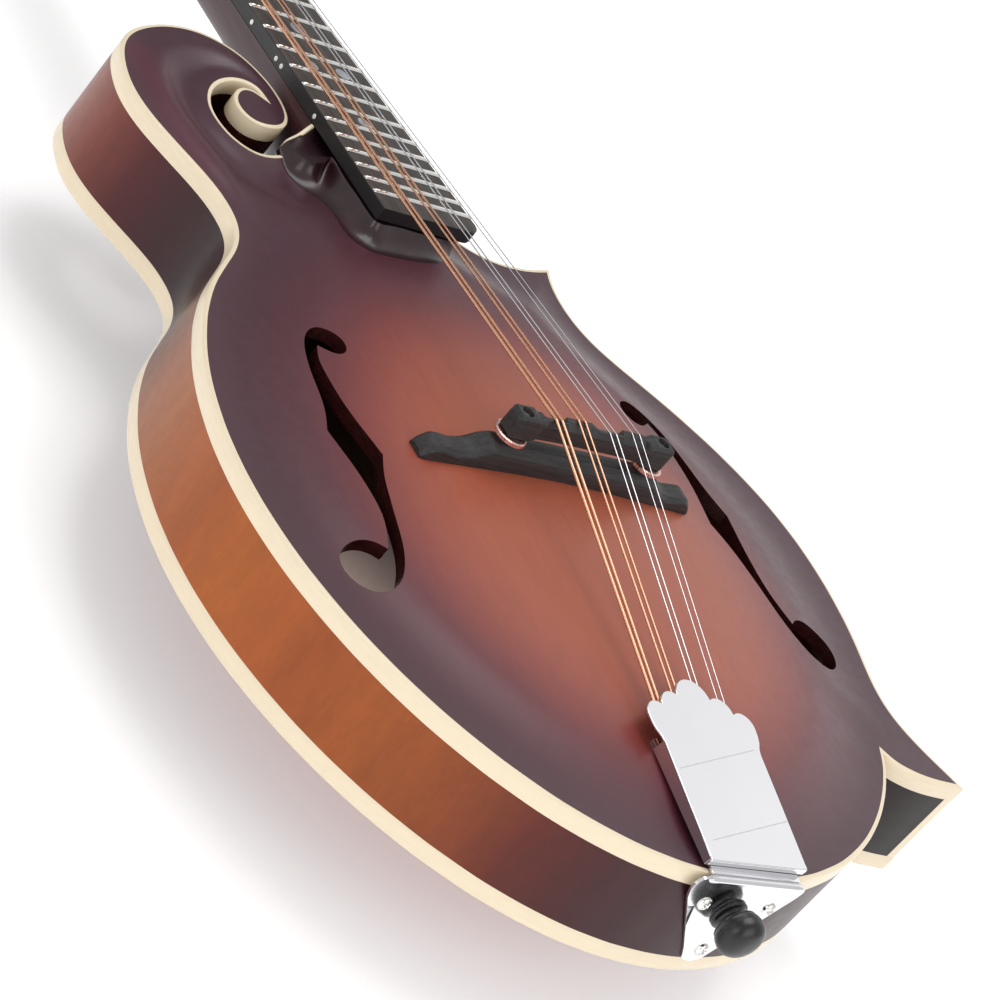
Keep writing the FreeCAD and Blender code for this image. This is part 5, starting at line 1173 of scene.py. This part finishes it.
plr = round_poly(pl, 3.0)
plate_y0, plate_y1 = RIM_Y - 1.0, RIM_Y - 0.02
circ = [(4.3 * math.cos(2 * math.pi * k / 40), PIN_Z + 4.3 * math.sin(2 * math.pi * k / 40)) for k in range(40)]
TS_AT = [(-13.0, -9.8), (14.0, -9.6), (3.4, -28.7)]
vo, fo = fill(np.array(plr), [np.array(circ)], 2.5)
v, f, kinds = slab(vo, fo, np.full(len(vo), -plate_y0), np.full(len(vo), -plate_y1))
v = np.column_stack([v[:, 0], -v[:, 2], v[:, 1]])
g = Geo()
g.add(v, f)
g.make("tail_plate", [M["chrome"]], "root", "chrome", ("tailpiece_base",), bevel=0.22)
# flat top of the base, rolled front lip of the plate, and the hooks
g = Geo()


def flat_z(y):
    return 0.55 + (5.3 - 0.55) * (y - (RIM_Y - 1.0)) / (-101.0 - (RIM_Y - 1.0))


rings = []
for y in np.linspace(RIM_Y + 0.4, -101.0, 24):
    z = flat_z(y)
    zt = float(top_z(np.array([(0.0, min(y, RIM_Y + 200))]))[0][0])
    zl = max(z - 0.42, zt + 0.10) if y > -143.5 else z - 0.42
    rings.append([(-18.5, y, z - 0.40), (-18.5, y, z + 0.35), (-18.2, y, z + 0.42), (18.2, y, z + 0.42), (18.5, y, z + 0.35), (18.5, y, z - 0.40)])
g.add(*loft(rings))
rings = []
for x in np.linspace(-19.3, 19.3, 30):
    e = min(1.0, (19.5 - abs(x)) / 0.8)
    rings.append([(x, RIM_Y - 0.7 + 1.25 * math.cos(a) * (0.7 + 0.3 * e), -0.1 + 1.25 * math.sin(a) * (0.7 + 0.3 * e)) for a in np.linspace(0, 2 * math.pi, 25)[:-1]])
g.add(*loft(rings))
for i in range(8):
    x = STRING_X[i] * 0.80
    pts = [(x, HOOK_Y - 2.2, 4.2), (x, HOOK_Y - 1.35, 4.9), (x, HOOK_Y - 1.0, 5.9), (x, HOOK_Y - 1.0, 6.6), (x, HOOK_Y - 1.25, 7.3)]
    g.add(*tube(spline(pts, 0.35), 0.62, 12))
g.make("tail_bed_and_hooks", [M["chrome"]], "root", "chrome", ("tailpiece_base",), angle=40)

g = Geo()
for i, (x, z) in enumerate(TS_AT):
    g.add(*screw_head((x, RIM_Y - 1.0, z), (0, -1, 0), 2.25, 1.2, 0.5 + 0.9 * i))
g.make("tail_screw_heads", [M["screw"]], "root", "screw_steel", ("tailpiece_screws",), angle=50)

# cover in its sloping plane: x across, s forward, n up
CS = math.atan(0.155)


def cov(x, s, n):
    return (x, -142.9 + s * math.cos(CS) - n * math.sin(CS), 4.0 + s * math.sin(CS) + n * math.cos(CS))


def arc_pts(cx, cy, r, a0, a1, n):
    return [(cx + r * math.cos(a), cy + r * math.sin(a)) for a in np.linspace(a0, a1, n)]


def meet(c1, r1, c2, r2):
    """Upper crossing of two circles."""
    c1, c2 = np.array(c1, float), np.array(c2, float)
    d = np.linalg.norm(c2 - c1)
    a = (d * d + r1 * r1 - r2 * r2) / (2 * d)
    h = math.sqrt(max(0.0, r1 * r1 - a * a))
    u = (c2 - c1) / d
    w = np.array([-u[1], u[0]])
    q = c1 + u * a + w * h
    q2 = c1 + u * a - w * h
    return q if q[1] > q2[1] else q2


LC, LR = [(17.9, 46.5), (9.9, 50.0), (0.0, 53.3)], [4.9, 5.4, 7.2]
m1 = meet(LC[0], LR[0], LC[1], LR[1])
m2 = meet(LC[1], LR[1], LC[2], LR[2])
ang = lambda c, q: math.atan2(q[1] - c[1], q[0] - c[0])
half = [(20.3, 0.05), (20.5, 20.0), (20.5, 37.6), (20.9, 39.4), (22.0, 41.6), (22.6, 43.9)]
half += arc_pts(*LC[0], LR[0], -0.10, ang(LC[0], m1), 12)
half += arc_pts(*LC[1], LR[1], ang(LC[1], m1), ang(LC[1], m2), 12)[1:]
half += arc_pts(*LC[2], LR[2], ang(LC[2], m2), math.pi / 2, 12)[1:]
full = half + [(-x, s) for x, s in reversed(half[:-1])]
g = Geo()
fullp = np.array(full)
g.add(*prism(full, -0.78, 0.0, cov))
cov_ob = g.make("cover_plate", [M["chrome"]], "tailpiece_cover", "chrome", ("tailpiece_cover",), bevel=0.28, seg=3)
g = Geo()
for sx in (-1, 1):
    a = sx * 20.4
    b = sx * 19.65
    pts = [(a, 0.5, -3.1), (b, 0.5, -3.1), (b, 38.2, -5.1), (a, 38.2, -5.1), (a, 0.5, -0.2), (b, 0.5, -0.2), (b, 38.2, -0.2), (a, 38.2, -0.2)]
    g.add(*box8([cov(*q) for q in pts]))
g.make("cover_side_flanges", [M["chrome"]], "tailpiece_cover", "chrome", ("tailpiece_cover",), bevel=0.15)
g = Geo()
rings = []
for x in np.linspace(-20.35, 20.35, 12):
    ring = []
    for a in np.linspace(0.0, math.pi * 0.55, 7):
        ring.append((x, 1.25 - 1.2 * math.sin(a) * 1.0, -1.2 + 1.2 * math.cos(a) - 0.0))
    ring += [(x, 0.12, -2.5), (x, 0.80, -2.5), (x, 0.85, -1.6), (x, 1.3, -0.8)]
    rings.append([cov(*q) for q in ring])
g.add(*loft(rings))
g.make("cover_rear_fold", [M["chrome"]], "tailpiece_cover", "chrome", ("tailpiece_cover",), angle=35)
g = Geo()
for (xa, sa), (xb, sb) in (((-18.7, 29.2), (17.9, 38.9)), ((-16.6, 6.6), (20.0, 15.8))):
    d = np.array([xb - xa, sb - sa])
    nrm = np.array([-d[1], d[0]]) / np.linalg.norm(d) * 0.16
    q = [(xa + nrm[0], sa + nrm[1]), (xb + nrm[0], sb + nrm[1]), (xb - nrm[0], sb - nrm[1]), (xa - nrm[0], sa - nrm[1])]
    g.add(*prism(q, -0.2, 0.018, cov))
g.make("cover_etched_lines", [M["etch"]], "tailpiece_cover", "chrome", ("tailpiece_cover",), angle=30)

# end pin, turned, with grooves
pp = [(0, 20.0), (3.3, 20.0), (3.85, 1.0), (3.9, -0.95), (5.35, -1.0), (5.62, -1.3), (5.62, -1.75), (5.2, -2.05), (4.6, -2.35), (4.25, -2.9), (4.3, -3.6), (4.8, -4.1), (5.9, -4.6), (6.3, -4.75), (6.5, -5.0), (6.3, -5.2),
      (6.5, -5.45), (6.9, -6.1), (7.15, -6.8), (7.2, -7.1), (7.18, -7.35), (7.28, -7.6), (7.32, -8.6), (7.2, -9.6), (6.8, -10.6), (6.0, -11.6), (4.9, -12.4), (3.5, -12.95), (1.9, -13.25), (0, -13.32)]
prof = spline(pp[3:], 0.28)
prof = [pp[0], pp[1], pp[2]] + [tuple(q) for q in prof]
prof = [(max(0.0, min(r, 7.88)), t) for r, t in prof]
Geo().add(*lathe(prof, (0, RIM_Y, PIN_Z), (0, 1, 0), 72)).make("end_pin_turned", [M["pin"]], "root", "black_plastic", ("end_pin",), angle=38)


# ------------------------------------------------------------------- strings
def vec_attr(ob, vals, name="along"):
    at = ob.data.attributes.new(name, "FLOAT_VECTOR", "POINT")
    at.data.foreach_set("vector", np.asarray(vals, float).ravel())


def taut(pts, r, n=14, step=6.0):
    """Tube along a polyline, with distance along it and the angle round it."""
    P_ = []
    for a, b in zip(pts[:-1], pts[1:]):
        a, b = np.array(a, float), np.array(b, float)
        k = max(1, int(np.linalg.norm(b - a) / step))
        for i in range(k):
            P_.append(a + (b - a) * i / k)
    P_.append(np.array(pts[-1], float))
    v, f = tube(P_, r, n)
    d = np.concatenate([[0], np.cumsum([np.linalg.norm(P_[i + 1] - P_[i]) for i in range(len(P_) - 1)])])
    at = []
    for i in range(len(P_)):
        for k in range(n):
            at.append((d[i], k / n, 0.0))
    return v, f, at


NZ = board_z(NUT_Y)
POSTS = {0: (-1, 0), 1: (-1, 1), 2: (-1, 2), 3: (-1, 3), 4: (1, 3), 5: (1, 2), 6: (1, 1), 7: (1, 0)}
BLEND = []
COURSE = (("g", (0, 1), "wound"), ("d", (2, 3), "wound"), ("a", (4, 5), "steel"), ("e", (6, 7), "steel"))


def make_free(g, name, mats, replaces, ats):
    """Same as make, but the piece has no parent."""
    me = bpy.data.meshes.new(name)
    me.from_pydata([tuple(p) for p in row(np.concatenate(g.v))], [], g.f)
    for m in mats:
        me.materials.append(m)
    bm = bmesh.new()
    bm.from_mesh(me)
    bmesh.ops.recalc_face_normals(bm, faces=bm.faces)
    bm.to_mesh(me)
    bm.free()
    me.polygons.foreach_set("use_smooth", [True] * len(me.polygons))
    me.set_sharp_from_angle(angle=math.radians(50))
    ob = bpy.data.objects.new(name, me)
    bpy.context.scene.collection.objects.link(ob)
    vec_attr(ob, ats)
    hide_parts(*replaces)
    return ob


for cname, idx, mat in COURSE:
    slot = "bronze_wound" if mat == "wound" else "plain_steel"
    node = "strings_" + cname
    tailg, frontg, headg = Geo(), Geo(), Geo()
    ta, fa, ha = [], [], []
    for i in idx:
        r = STRING_R[i]
        hx = STRING_X[i] * 0.80
        hk = (hx, HOOK_Y - 0.25, HOOK_Z + 0.2)
        zb = STRING_Z - (0.5 - r)
        brk = (STRING_X[i], crest_y(STRING_X[i]), zb - 0.12)
        v, f, at = taut([hk, (hx, HOOK_Y + 2.0, HOOK_Z + 0.2 + 2.0 * (zb - HOOK_Z - 0.2) / 109.0), brk], r)
        tailg.add(v, f)
        ta += at
        # twist where the loop closes on itself
        pa = np.array((hx, HOOK_Y + 1.2, HOOK_Z + 0.25))
        d = np.array(brk) - pa
        d /= np.linalg.norm(d)
        u = np.cross((0, 0, 1.0), d)
        u /= np.linalg.norm(u)
        w = np.cross(d, u)
        rr = r + 0.14
        tw = [pa + d * (k * 0.16) + (u * math.cos(k * 0.9) + w * math.sin(k * 0.9)) * rr for k in range(52)]
        v, f = tube(tw, 0.15, 6)
        tailg.add(v, f)
        ta += [(k * 0.1, 0, 0) for k in range(len(v))]
        lp = [(hx + 0.95 * math.sin(a), HOOK_Y - 0.95 - 0.95 * math.cos(a) * 1.0, HOOK_Z + 0.15) for a in np.linspace(-2.7, 2.7, 22)]
        v, f = tube(lp, 0.17, 8)
        tailg.add(v, f)
        ta += [(k * 0.1, 0, 0) for k in range(len(v))]
        c = (NUT_X[i], NUT_Y + 0.4, NZ + 1.55 + 0.02)
        v, f, at = taut([brk, c], r, step=8.0)
        frontg.add(v, f)
        fa += at
        sx, k = POSTS[i]
        s = TUNER_S[k]
        c2 = (NUT_X[i], NUT_Y + 3.5, NZ + 0.60 + r + 0.35)
        e = np.array(head(sx * (POST_OFF - 3.75 - 0.15 - r), s, 6.0))
        v, f, at = taut([c, (NUT_X[i], NUT_Y + 1.9, NZ + 1.22 + r * 0.4), c2, tuple(e)], r * 0.98, step=6.0)
        headg.add(v, f)
        ha += at
    t_ob = make_free(tailg, node + "_tail_part", [M[mat]], (node,), ta)
    f_ob = make_free(frontg, node + "_front_part", [M[mat]], (node,), fa)
    h_ob = headg.make(node + "_head_part", [M[mat]], "root", slot, (node,), angle=50)
    vec_attr(h_ob, ha)
    BLEND.append((t_ob, "tail"))
    BLEND.append((f_ob, "front"))


# -------------------------------------------------------------------- tuners
BN = -15.0
hx_, hy_, hz_ = (np.array(head(1, 0, 0)) - np.array(head(0, 0, 0))), (np.array(head(0, 1, 0)) - np.array(head(0, 0, 0))), (np.array(head(0, 0, 1)) - np.array(head(0, 0, 0)))
gp, gf, gsx = Geo(), Geo(), Geo()
for sx in (-1, 1):
    x0, x1 = sorted((sx * (POST_OFF - 7.0), sx * (POST_OFF + 10.5)))
    prof = [(x0, 32.0), (x1, 32.0), (x1, 144.0), (x0, 144.0)]
    outer = round_poly(prof, 3.0)
    holes = [np.array([(sx * POST_OFF + 3.06 * math.cos(2 * math.pi * k / 28), s + 3.06 * math.sin(2 * math.pi * k / 28)) for k in range(28)]) for s in TUNER_S]
    vo, fo = fill(np.array(outer), holes, 3.0)
    v, f, kinds = slab(vo, fo, np.full(len(vo), BN - 0.01), np.full(len(vo), BN - 1.15))
    gp.add(np.array([head(*q) for q in v]), f)
    for s in TUNER_S:
        ws = s + 7.7
        for ex in (POST_OFF - 5.4, POST_OFF + 5.2):
            xa, xb = sorted((sx * ex, sx * (ex + 1.6)))
            prof = [(ws - 3.2, BN - 1.1), (ws + 3.2, BN - 1.1)] + [(ws + 3.2 * math.cos(a), BN - 5.2 - 3.15 * math.sin(a)) for a in np.linspace(0, math.pi, 13)]
            v, f = prism(prof, xa + 0.02, xb - 0.02, lambda a, b, h: head(h, a, b))
            gp.add(v, f)
        # raised boss round the post, on the plate's back
        gp.add(*lathe([(3.1, BN - 1.1), (4.3, BN - 1.1), (4.2, BN - 1.6), (3.1, BN - 1.6)], head(sx * POST_OFF, s, 0), hz_, 32, False))
    for i, s in enumerate((36.0, 59.5, 82.6, 105.7, 140.0)):
        gsx.add(*screw_head(head(sx * (POST_OFF - 4.5), s, BN - 1.15), -hz_, 2.2, 1.1, 0.4 * i + sx))
    for s in TUNER_S:
        gf.add(*lathe([(3.07, -3.0), (4.1, -3.0), (4.1, 0.02), (5.35, 0.05), (5.38, 0.35), (5.1, 0.72), (4.4, 0.95), (3.6, 1.0), (3.07, 0.9)], head(sx * POST_OFF, s, 0), hz_, 48, False))
        n = 48
gp.make("tuner_plates_with_ears", [M["nickel"]], "root", "nickel_post", ("tuner_plates",), angle=32)
gf2 = Geo()
for sx in (-1, 1):
    for s in TUNER_S:
        pr = [(3.07, -3.0), (4.1, -3.0), (4.1, 0.02), (5.35, 0.05), (5.38, 0.35), (5.1, 0.72), (4.4, 0.95), (3.6, 1.0), (3.07, 0.9)]
        v, f = lathe(pr, head(sx * POST_OFF, s, 0), hz_, 48, False)
        m, n = len(pr), 48
        f += [((m - 1) * n + j, (m - 1) * n + (j + 1) % n, (j + 1) % n, j) for j in range(n)]
        gf2.add(v, f)
gf2.make("post_ferrules", [M["nickel"]], "root", "nickel_post", ("tuner_ferrules",), angle=40)
gsx.make("tuner_screw_heads", [M["screw"]], "root", "screw_steel", ("tuner_screws",), angle=50)

for side, sx in (("bass", -1), ("treble", 1)):
    for i, s in enumerate(TUNER_S):
        k = i + 1
        o = head(sx * POST_OFF, s, 0)
        body = "tuner_post_%s_%d" % (side, k)
        g = Geo()
        prof = [(0, -21.55), (2.2, -21.5), (2.3, -16.5), (2.95, -16.3), (2.95, 3.6), (2.85, 4.2), (2.55, 6.0), (2.85, 7.8), (2.95, 8.4), (2.95, 14.1), (2.6, 14.75), (1.6, 14.97), (0, 15.0)]
        g.add(*lathe(prof, o, hz_, 40))
        # gear with sixteen hobbed teeth and its screw
        n = 128
        rings = []
        for r, tn_, am in ((2.2, -21.5, 0.0), (4.25, -21.5, 0.0), (4.72, -21.2, 0.38), (4.55, -20.0, 0.55), (4.72, -18.7, 0.38), (4.25, -18.45, 0.0), (2.2, -18.45, 0.0)):
            ring = []
            for j in range(n):
                a = 2 * math.pi * j / n
                q = math.cos(16 * a + (tn_ + 20.0) * 0.35)
                rr = r + am * max(-1.0, min(1.0, 1.6 * q))
                ring.append(np.array(o) + hz_ * tn_ + (hx_ * math.cos(a) + hy_ * math.sin(a)) * min(rr, 5.19))
            rings.append(ring)
        v, f = loft(rings, True, False)
        m = len(rings)
        f += [((m - 1) * n + j, (m - 1) * n + (j + 1) % n, (j + 1) % n, j) for j in range(n)]
        gg = Geo()
        gg.add(v, f)
        gg.add(*screw_head(np.array(o) + hz_ * -21.45, -hz_, 2.1, 0.75, 0.3 + 0.5 * i))
        g.make("post_%s_%d" % (side, k), [M["nickel"]], body, "nickel_post", (body,), angle=40)
        gg.make("gear_%s_%d" % (side, k), [M["nickel"]], body, "nickel_post", (body,), angle=40)
        # string wound on the post
        si = [a for a, b in POSTS.items() if b == (sx, i)][0]
        r = STRING_R[si]
        turns = []
        dirn = -sx
        for t in np.linspace(0, 1, 150):
            a = math.pi * (0 if sx < 0 else 1) + dirn * 2 * math.pi * 3.6 * t
            rr = 2.62 + r + 0.05
            turns.append(np.array(o) + hz_ * (6.0 + (t - 0.0) * 3.4 * (r * 1.0 + 0.1)) + (hx_ * math.cos(a) + hy_ * math.sin(a)) * rr)
        v, f = tube(turns, r * 0.95, 8)
        w_ = Geo()
        w_.add(v, f)
        mat = "wound" if si < 4 else "steel"
        ob = w_.make("winding_%s_%d" % (side, k), [M[mat]], body, "nickel_post", (body,), angle=50)
        vec_attr(ob, [(j * 0.5, (q % 8) / 8.0, 0.0) for j in range(len(turns)) for q in range(8)])
        # knob: worm shaft, collar and button
        knob = "tuner_knob_%s_%d" % (side, k)
        wo = np.array(head(0, s + 7.7, BN - 5.0))
        ax_ = hx_ * sx
        prof = [(0, POST_OFF - 6.6), (1.3, POST_OFF - 6.6), (1.45, POST_OFF - 6.4), (1.45, POST_OFF - 3.6)]
        g = Geo()
        n, rings = 24, []
        t = POST_OFF - 6.6
        pts = [(0.4, t), (1.3, t), (1.45, t + 0.2), (1.45, POST_OFF - 3.5)]
        for r_, q in pts:
            rings.append([wo + ax_ * q + (hy_ * math.cos(2 * math.pi * j / n) + hz_ * math.sin(2 * math.pi * j / n)) * r_ for j in range(n)])
        for q in np.arange(POST_OFF - 3.4, POST_OFF + 4.81, 0.17):
            ring = []
            e = min(1.0, (q - (POST_OFF - 3.5)) / 0.5, ((POST_OFF + 4.9) - q) / 0.5)
            for j in range(n):
                a = 2 * math.pi * j / n
                ph = math.cos(2 * math.pi * q / 1.87 - a)
                ring.append(wo + ax_ * q + (hy_ * math.cos(a) + hz_ * math.sin(a)) * (1.45 + e * (0.36 + 0.34 * max(-1, min(1, 1.7 * ph)))))
            rings.append(ring)
        for r_, q in ((1.45, POST_OFF + 4.95), (1.45, POST_OFF + 20.5), (2.5, POST_OFF + 20.62), (2.88, POST_OFF + 20.9), (2.88, POST_OFF + 21.9), (2.5, POST_OFF + 22.18), (1.2, POST_OFF + 22.2)):
            rings.append([wo + ax_ * q + (hy_ * math.cos(2 * math.pi * j / n) + hz_ * math.sin(2 * math.pi * j / n)) * r_ for j in range(n)])
        g.add(*loft(rings))
        g.make("worm_%s_%d" % (side, k), [M["nickel"]], knob, "nickel_post", (knob,), angle=40)
        # button: rounded oval paddle
        rings = []
        n = 40
        stations = [(22.25, 2.6, 2.3), (22.6, 3.3, 2.7), (23.4, 4.6, 3.15), (24.8, 5.9, 3.7), (27.0, 6.55, 4.15), (29.4, 6.6, 4.25), (31.4, 5.9, 3.8), (32.5, 4.6, 3.0), (33.0, 2.8, 1.9), (33.15, 0.9, 0.6)]
        for q, a_, b_ in stations:
            ring = []
            for j in range(n):
                th = 2 * math.pi * j / n
                c_, s_ = math.cos(th), math.sin(th)
                ring.append(wo + ax_ * (POST_OFF + q) + hy_ * b_ * math.copysign(abs(c_) ** 0.8, c_) + hz_ * a_ * math.copysign(abs(s_) ** 0.8, s_))
            rings.append(ring)
        rings = [list(q) for q in np.transpose(np.array([spline(np.array([rr[j] for rr in rings]), 0.9)[:14] if False else resample(spline(np.array([rr[j] for rr in rings]), 0.5), 16) for j in range(n)]), (1, 0, 2))]
        b_ob = Geo().add(*loft(rings)).make("button_%s_%d" % (side, k), [M["button"]], knob, "tuner_button", (knob,), angle=60)

# truss rod with its hex nut stays as built, under the cover
CARRIED2 = [("truss_rod", "nickel", "nickel_post"), ("truss_rod_nut", "nickel", "nickel_post")]
for t_ob, part in BLEND:
    if part == "tail":
        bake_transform(t_ob)
    else:
        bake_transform(t_ob)
CARRIED = [(n, "block", None) for n in ("tail_block", "point_blocks", "linings", "tone_bars")] + [("inner_label", "paper", "paper")]
CARRIED = [(a, b, "inner_wood" if c is None else c) for a, b, c in CARRIED]
CARRIED += CARRIED2


# ------------------------------------------------- CAD nodes that stay shown
def dress(node, mat):
    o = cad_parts[node]
    o.data.materials.clear()
    o.data.materials.append(mat)
    for p in o.data.polygons:
        p.material_index = 0


for node, mat, slot in CARRIED:
    dress(node, M[mat])

# ---------------------------------------------------- floor, light, camera
fl = bpy.data.meshes.new("floor")
fl.from_pydata([(-6, -6, -0.004), (6, -6, -0.004), (6, 6, -0.004), (-6, 6, -0.004)], [], [(0, 1, 2, 3)])
floor = bpy.data.objects.new("floor", fl)
bpy.context.scene.collection.objects.link(floor)
fm = Mat("M_floor", 0.9, 0.0, (0.93, 0.93, 0.93))
fm.b.inputs["Emission Color"].default_value = (1, 1, 1, 1)
fm.b.inputs["Emission Strength"].default_value = 0.30
fm.base(fm.shade((0.93, 0.93, 0.93), fm.remap(fm.noise(3.0, fm.coords(), 2), 0.3, 0.7, 0.995, 1.0)))
fl.materials.append(fm.m)

world = bpy.data.worlds.new("studio")
world.use_nodes = True
bg = next(n for n in world.node_tree.nodes if n.type == "BACKGROUND")
bg.inputs["Color"].default_value = (1, 1, 1, 1)
nt = world.node_tree
geo_ = nt.nodes.new("ShaderNodeTexCoord")


def lobe(direction, lo_, hi_, gain):
    d = np.array(direction, float)
    d /= np.linalg.norm(d)
    dot = nt.nodes.new("ShaderNodeVectorMath")
    dot.operation = "DOT_PRODUCT"
    dot.inputs[1].default_value = tuple(d)
    nt.links.new(geo_.outputs["Generated"], dot.inputs[0])
    mr = nt.nodes.new("ShaderNodeMapRange")
    mr.interpolation_type = "SMOOTHSTEP"
    for k_, v_ in (("From Min", lo_), ("From Max", hi_), ("To Min", 0.0), ("To Max", gain)):
        mr.inputs[k_].default_value = v_
    nt.links.new(dot.outputs["Value"], mr.inputs["Value"])
    return mr.outputs["Result"]


acc = None
for lb in (lobe((0.40, 0.86, 0.30), 0.70, 0.97, -0.40), lobe((0.68, 0.30, 0.67), 0.90, 0.99, 0.10), lobe((0.95, 0.22, 0.18), 0.78, 0.98, 0.42), lobe((0, 0, -1), 0.0, 0.6, 0.10)):
    if acc is None:
        acc = lb
        continue
    ad = nt.nodes.new("ShaderNodeMath")
    ad.operation = "ADD"
    nt.links.new(acc, ad.inputs[0])
    nt.links.new(lb, ad.inputs[1])
    acc = ad.outputs[0]
base_ = nt.nodes.new("ShaderNodeMath")
base_.operation = "ADD"
base_.inputs[1].default_value = 0.66
nt.links.new(acc, base_.inputs[0])
nt.links.new(base_.outputs[0], bg.inputs["Strength"])
bpy.context.scene.world = world


def light(name, loc, aim, size, power, size_y=None):
    d = bpy.data.lights.new(name, "AREA")
    d.shape = "RECTANGLE"
    d.size, d.size_y = size, size_y or size
    d.energy = power
    o = bpy.data.objects.new(name, d)
    o.location = loc
    o.rotation_mode = "QUATERNION"
    o.rotation_quaternion = (Vector(aim) - Vector(loc)).to_track_quat("-Z", "Y")
    bpy.context.scene.collection.objects.link(o)
    return o


light("key", (0.15, 0.10, 1.45), (0.0, -0.1, 0.05), 0.9, 8.0, 0.9)
light("side", (-1.25, -0.55, 0.55), (0.0, -0.1, 0.03), 0.9, 3.2, 0.7)
light("front", (0.1, -1.3, 0.65), (0.0, -0.2, 0.05), 0.8, 3.4)
lab = row((-52.0, -14.0, -8.0))
light("inside_fill", tuple(lab), tuple(row((-44.0, -8.0, -40.0))), 0.03, 0.010)

R = np.array([[0.696444, -0.409005, 0.589644], [0.150361, -0.720267, -0.677205], [0.701681, 0.560295, -0.440128]])
C = np.array([-743.788, -575.034, 461.74])
cam_data = bpy.data.cameras.new("camera")
cam_data.sensor_width = 36.0
cam_data.lens = 126.626
cam_data.shift_x, cam_data.shift_y = -0.0011, -0.0374
cam_data.clip_start, cam_data.clip_end = 0.01, 50.0
cam_data.dof.use_dof = False
camera = bpy.data.objects.new("camera", cam_data)
loc = row(C)
mw = Matrix.Identity(4)
for i in range(3):
    mw[i][0], mw[i][1], mw[i][2], mw[i][3] = R[0][i], -R[1][i], -R[2][i], loc[i]
camera.matrix_world = mw
bpy.context.scene.collection.objects.link(camera)
bpy.context.scene.camera = camera
bpy.context.scene.view_settings.view_transform = "Standard"
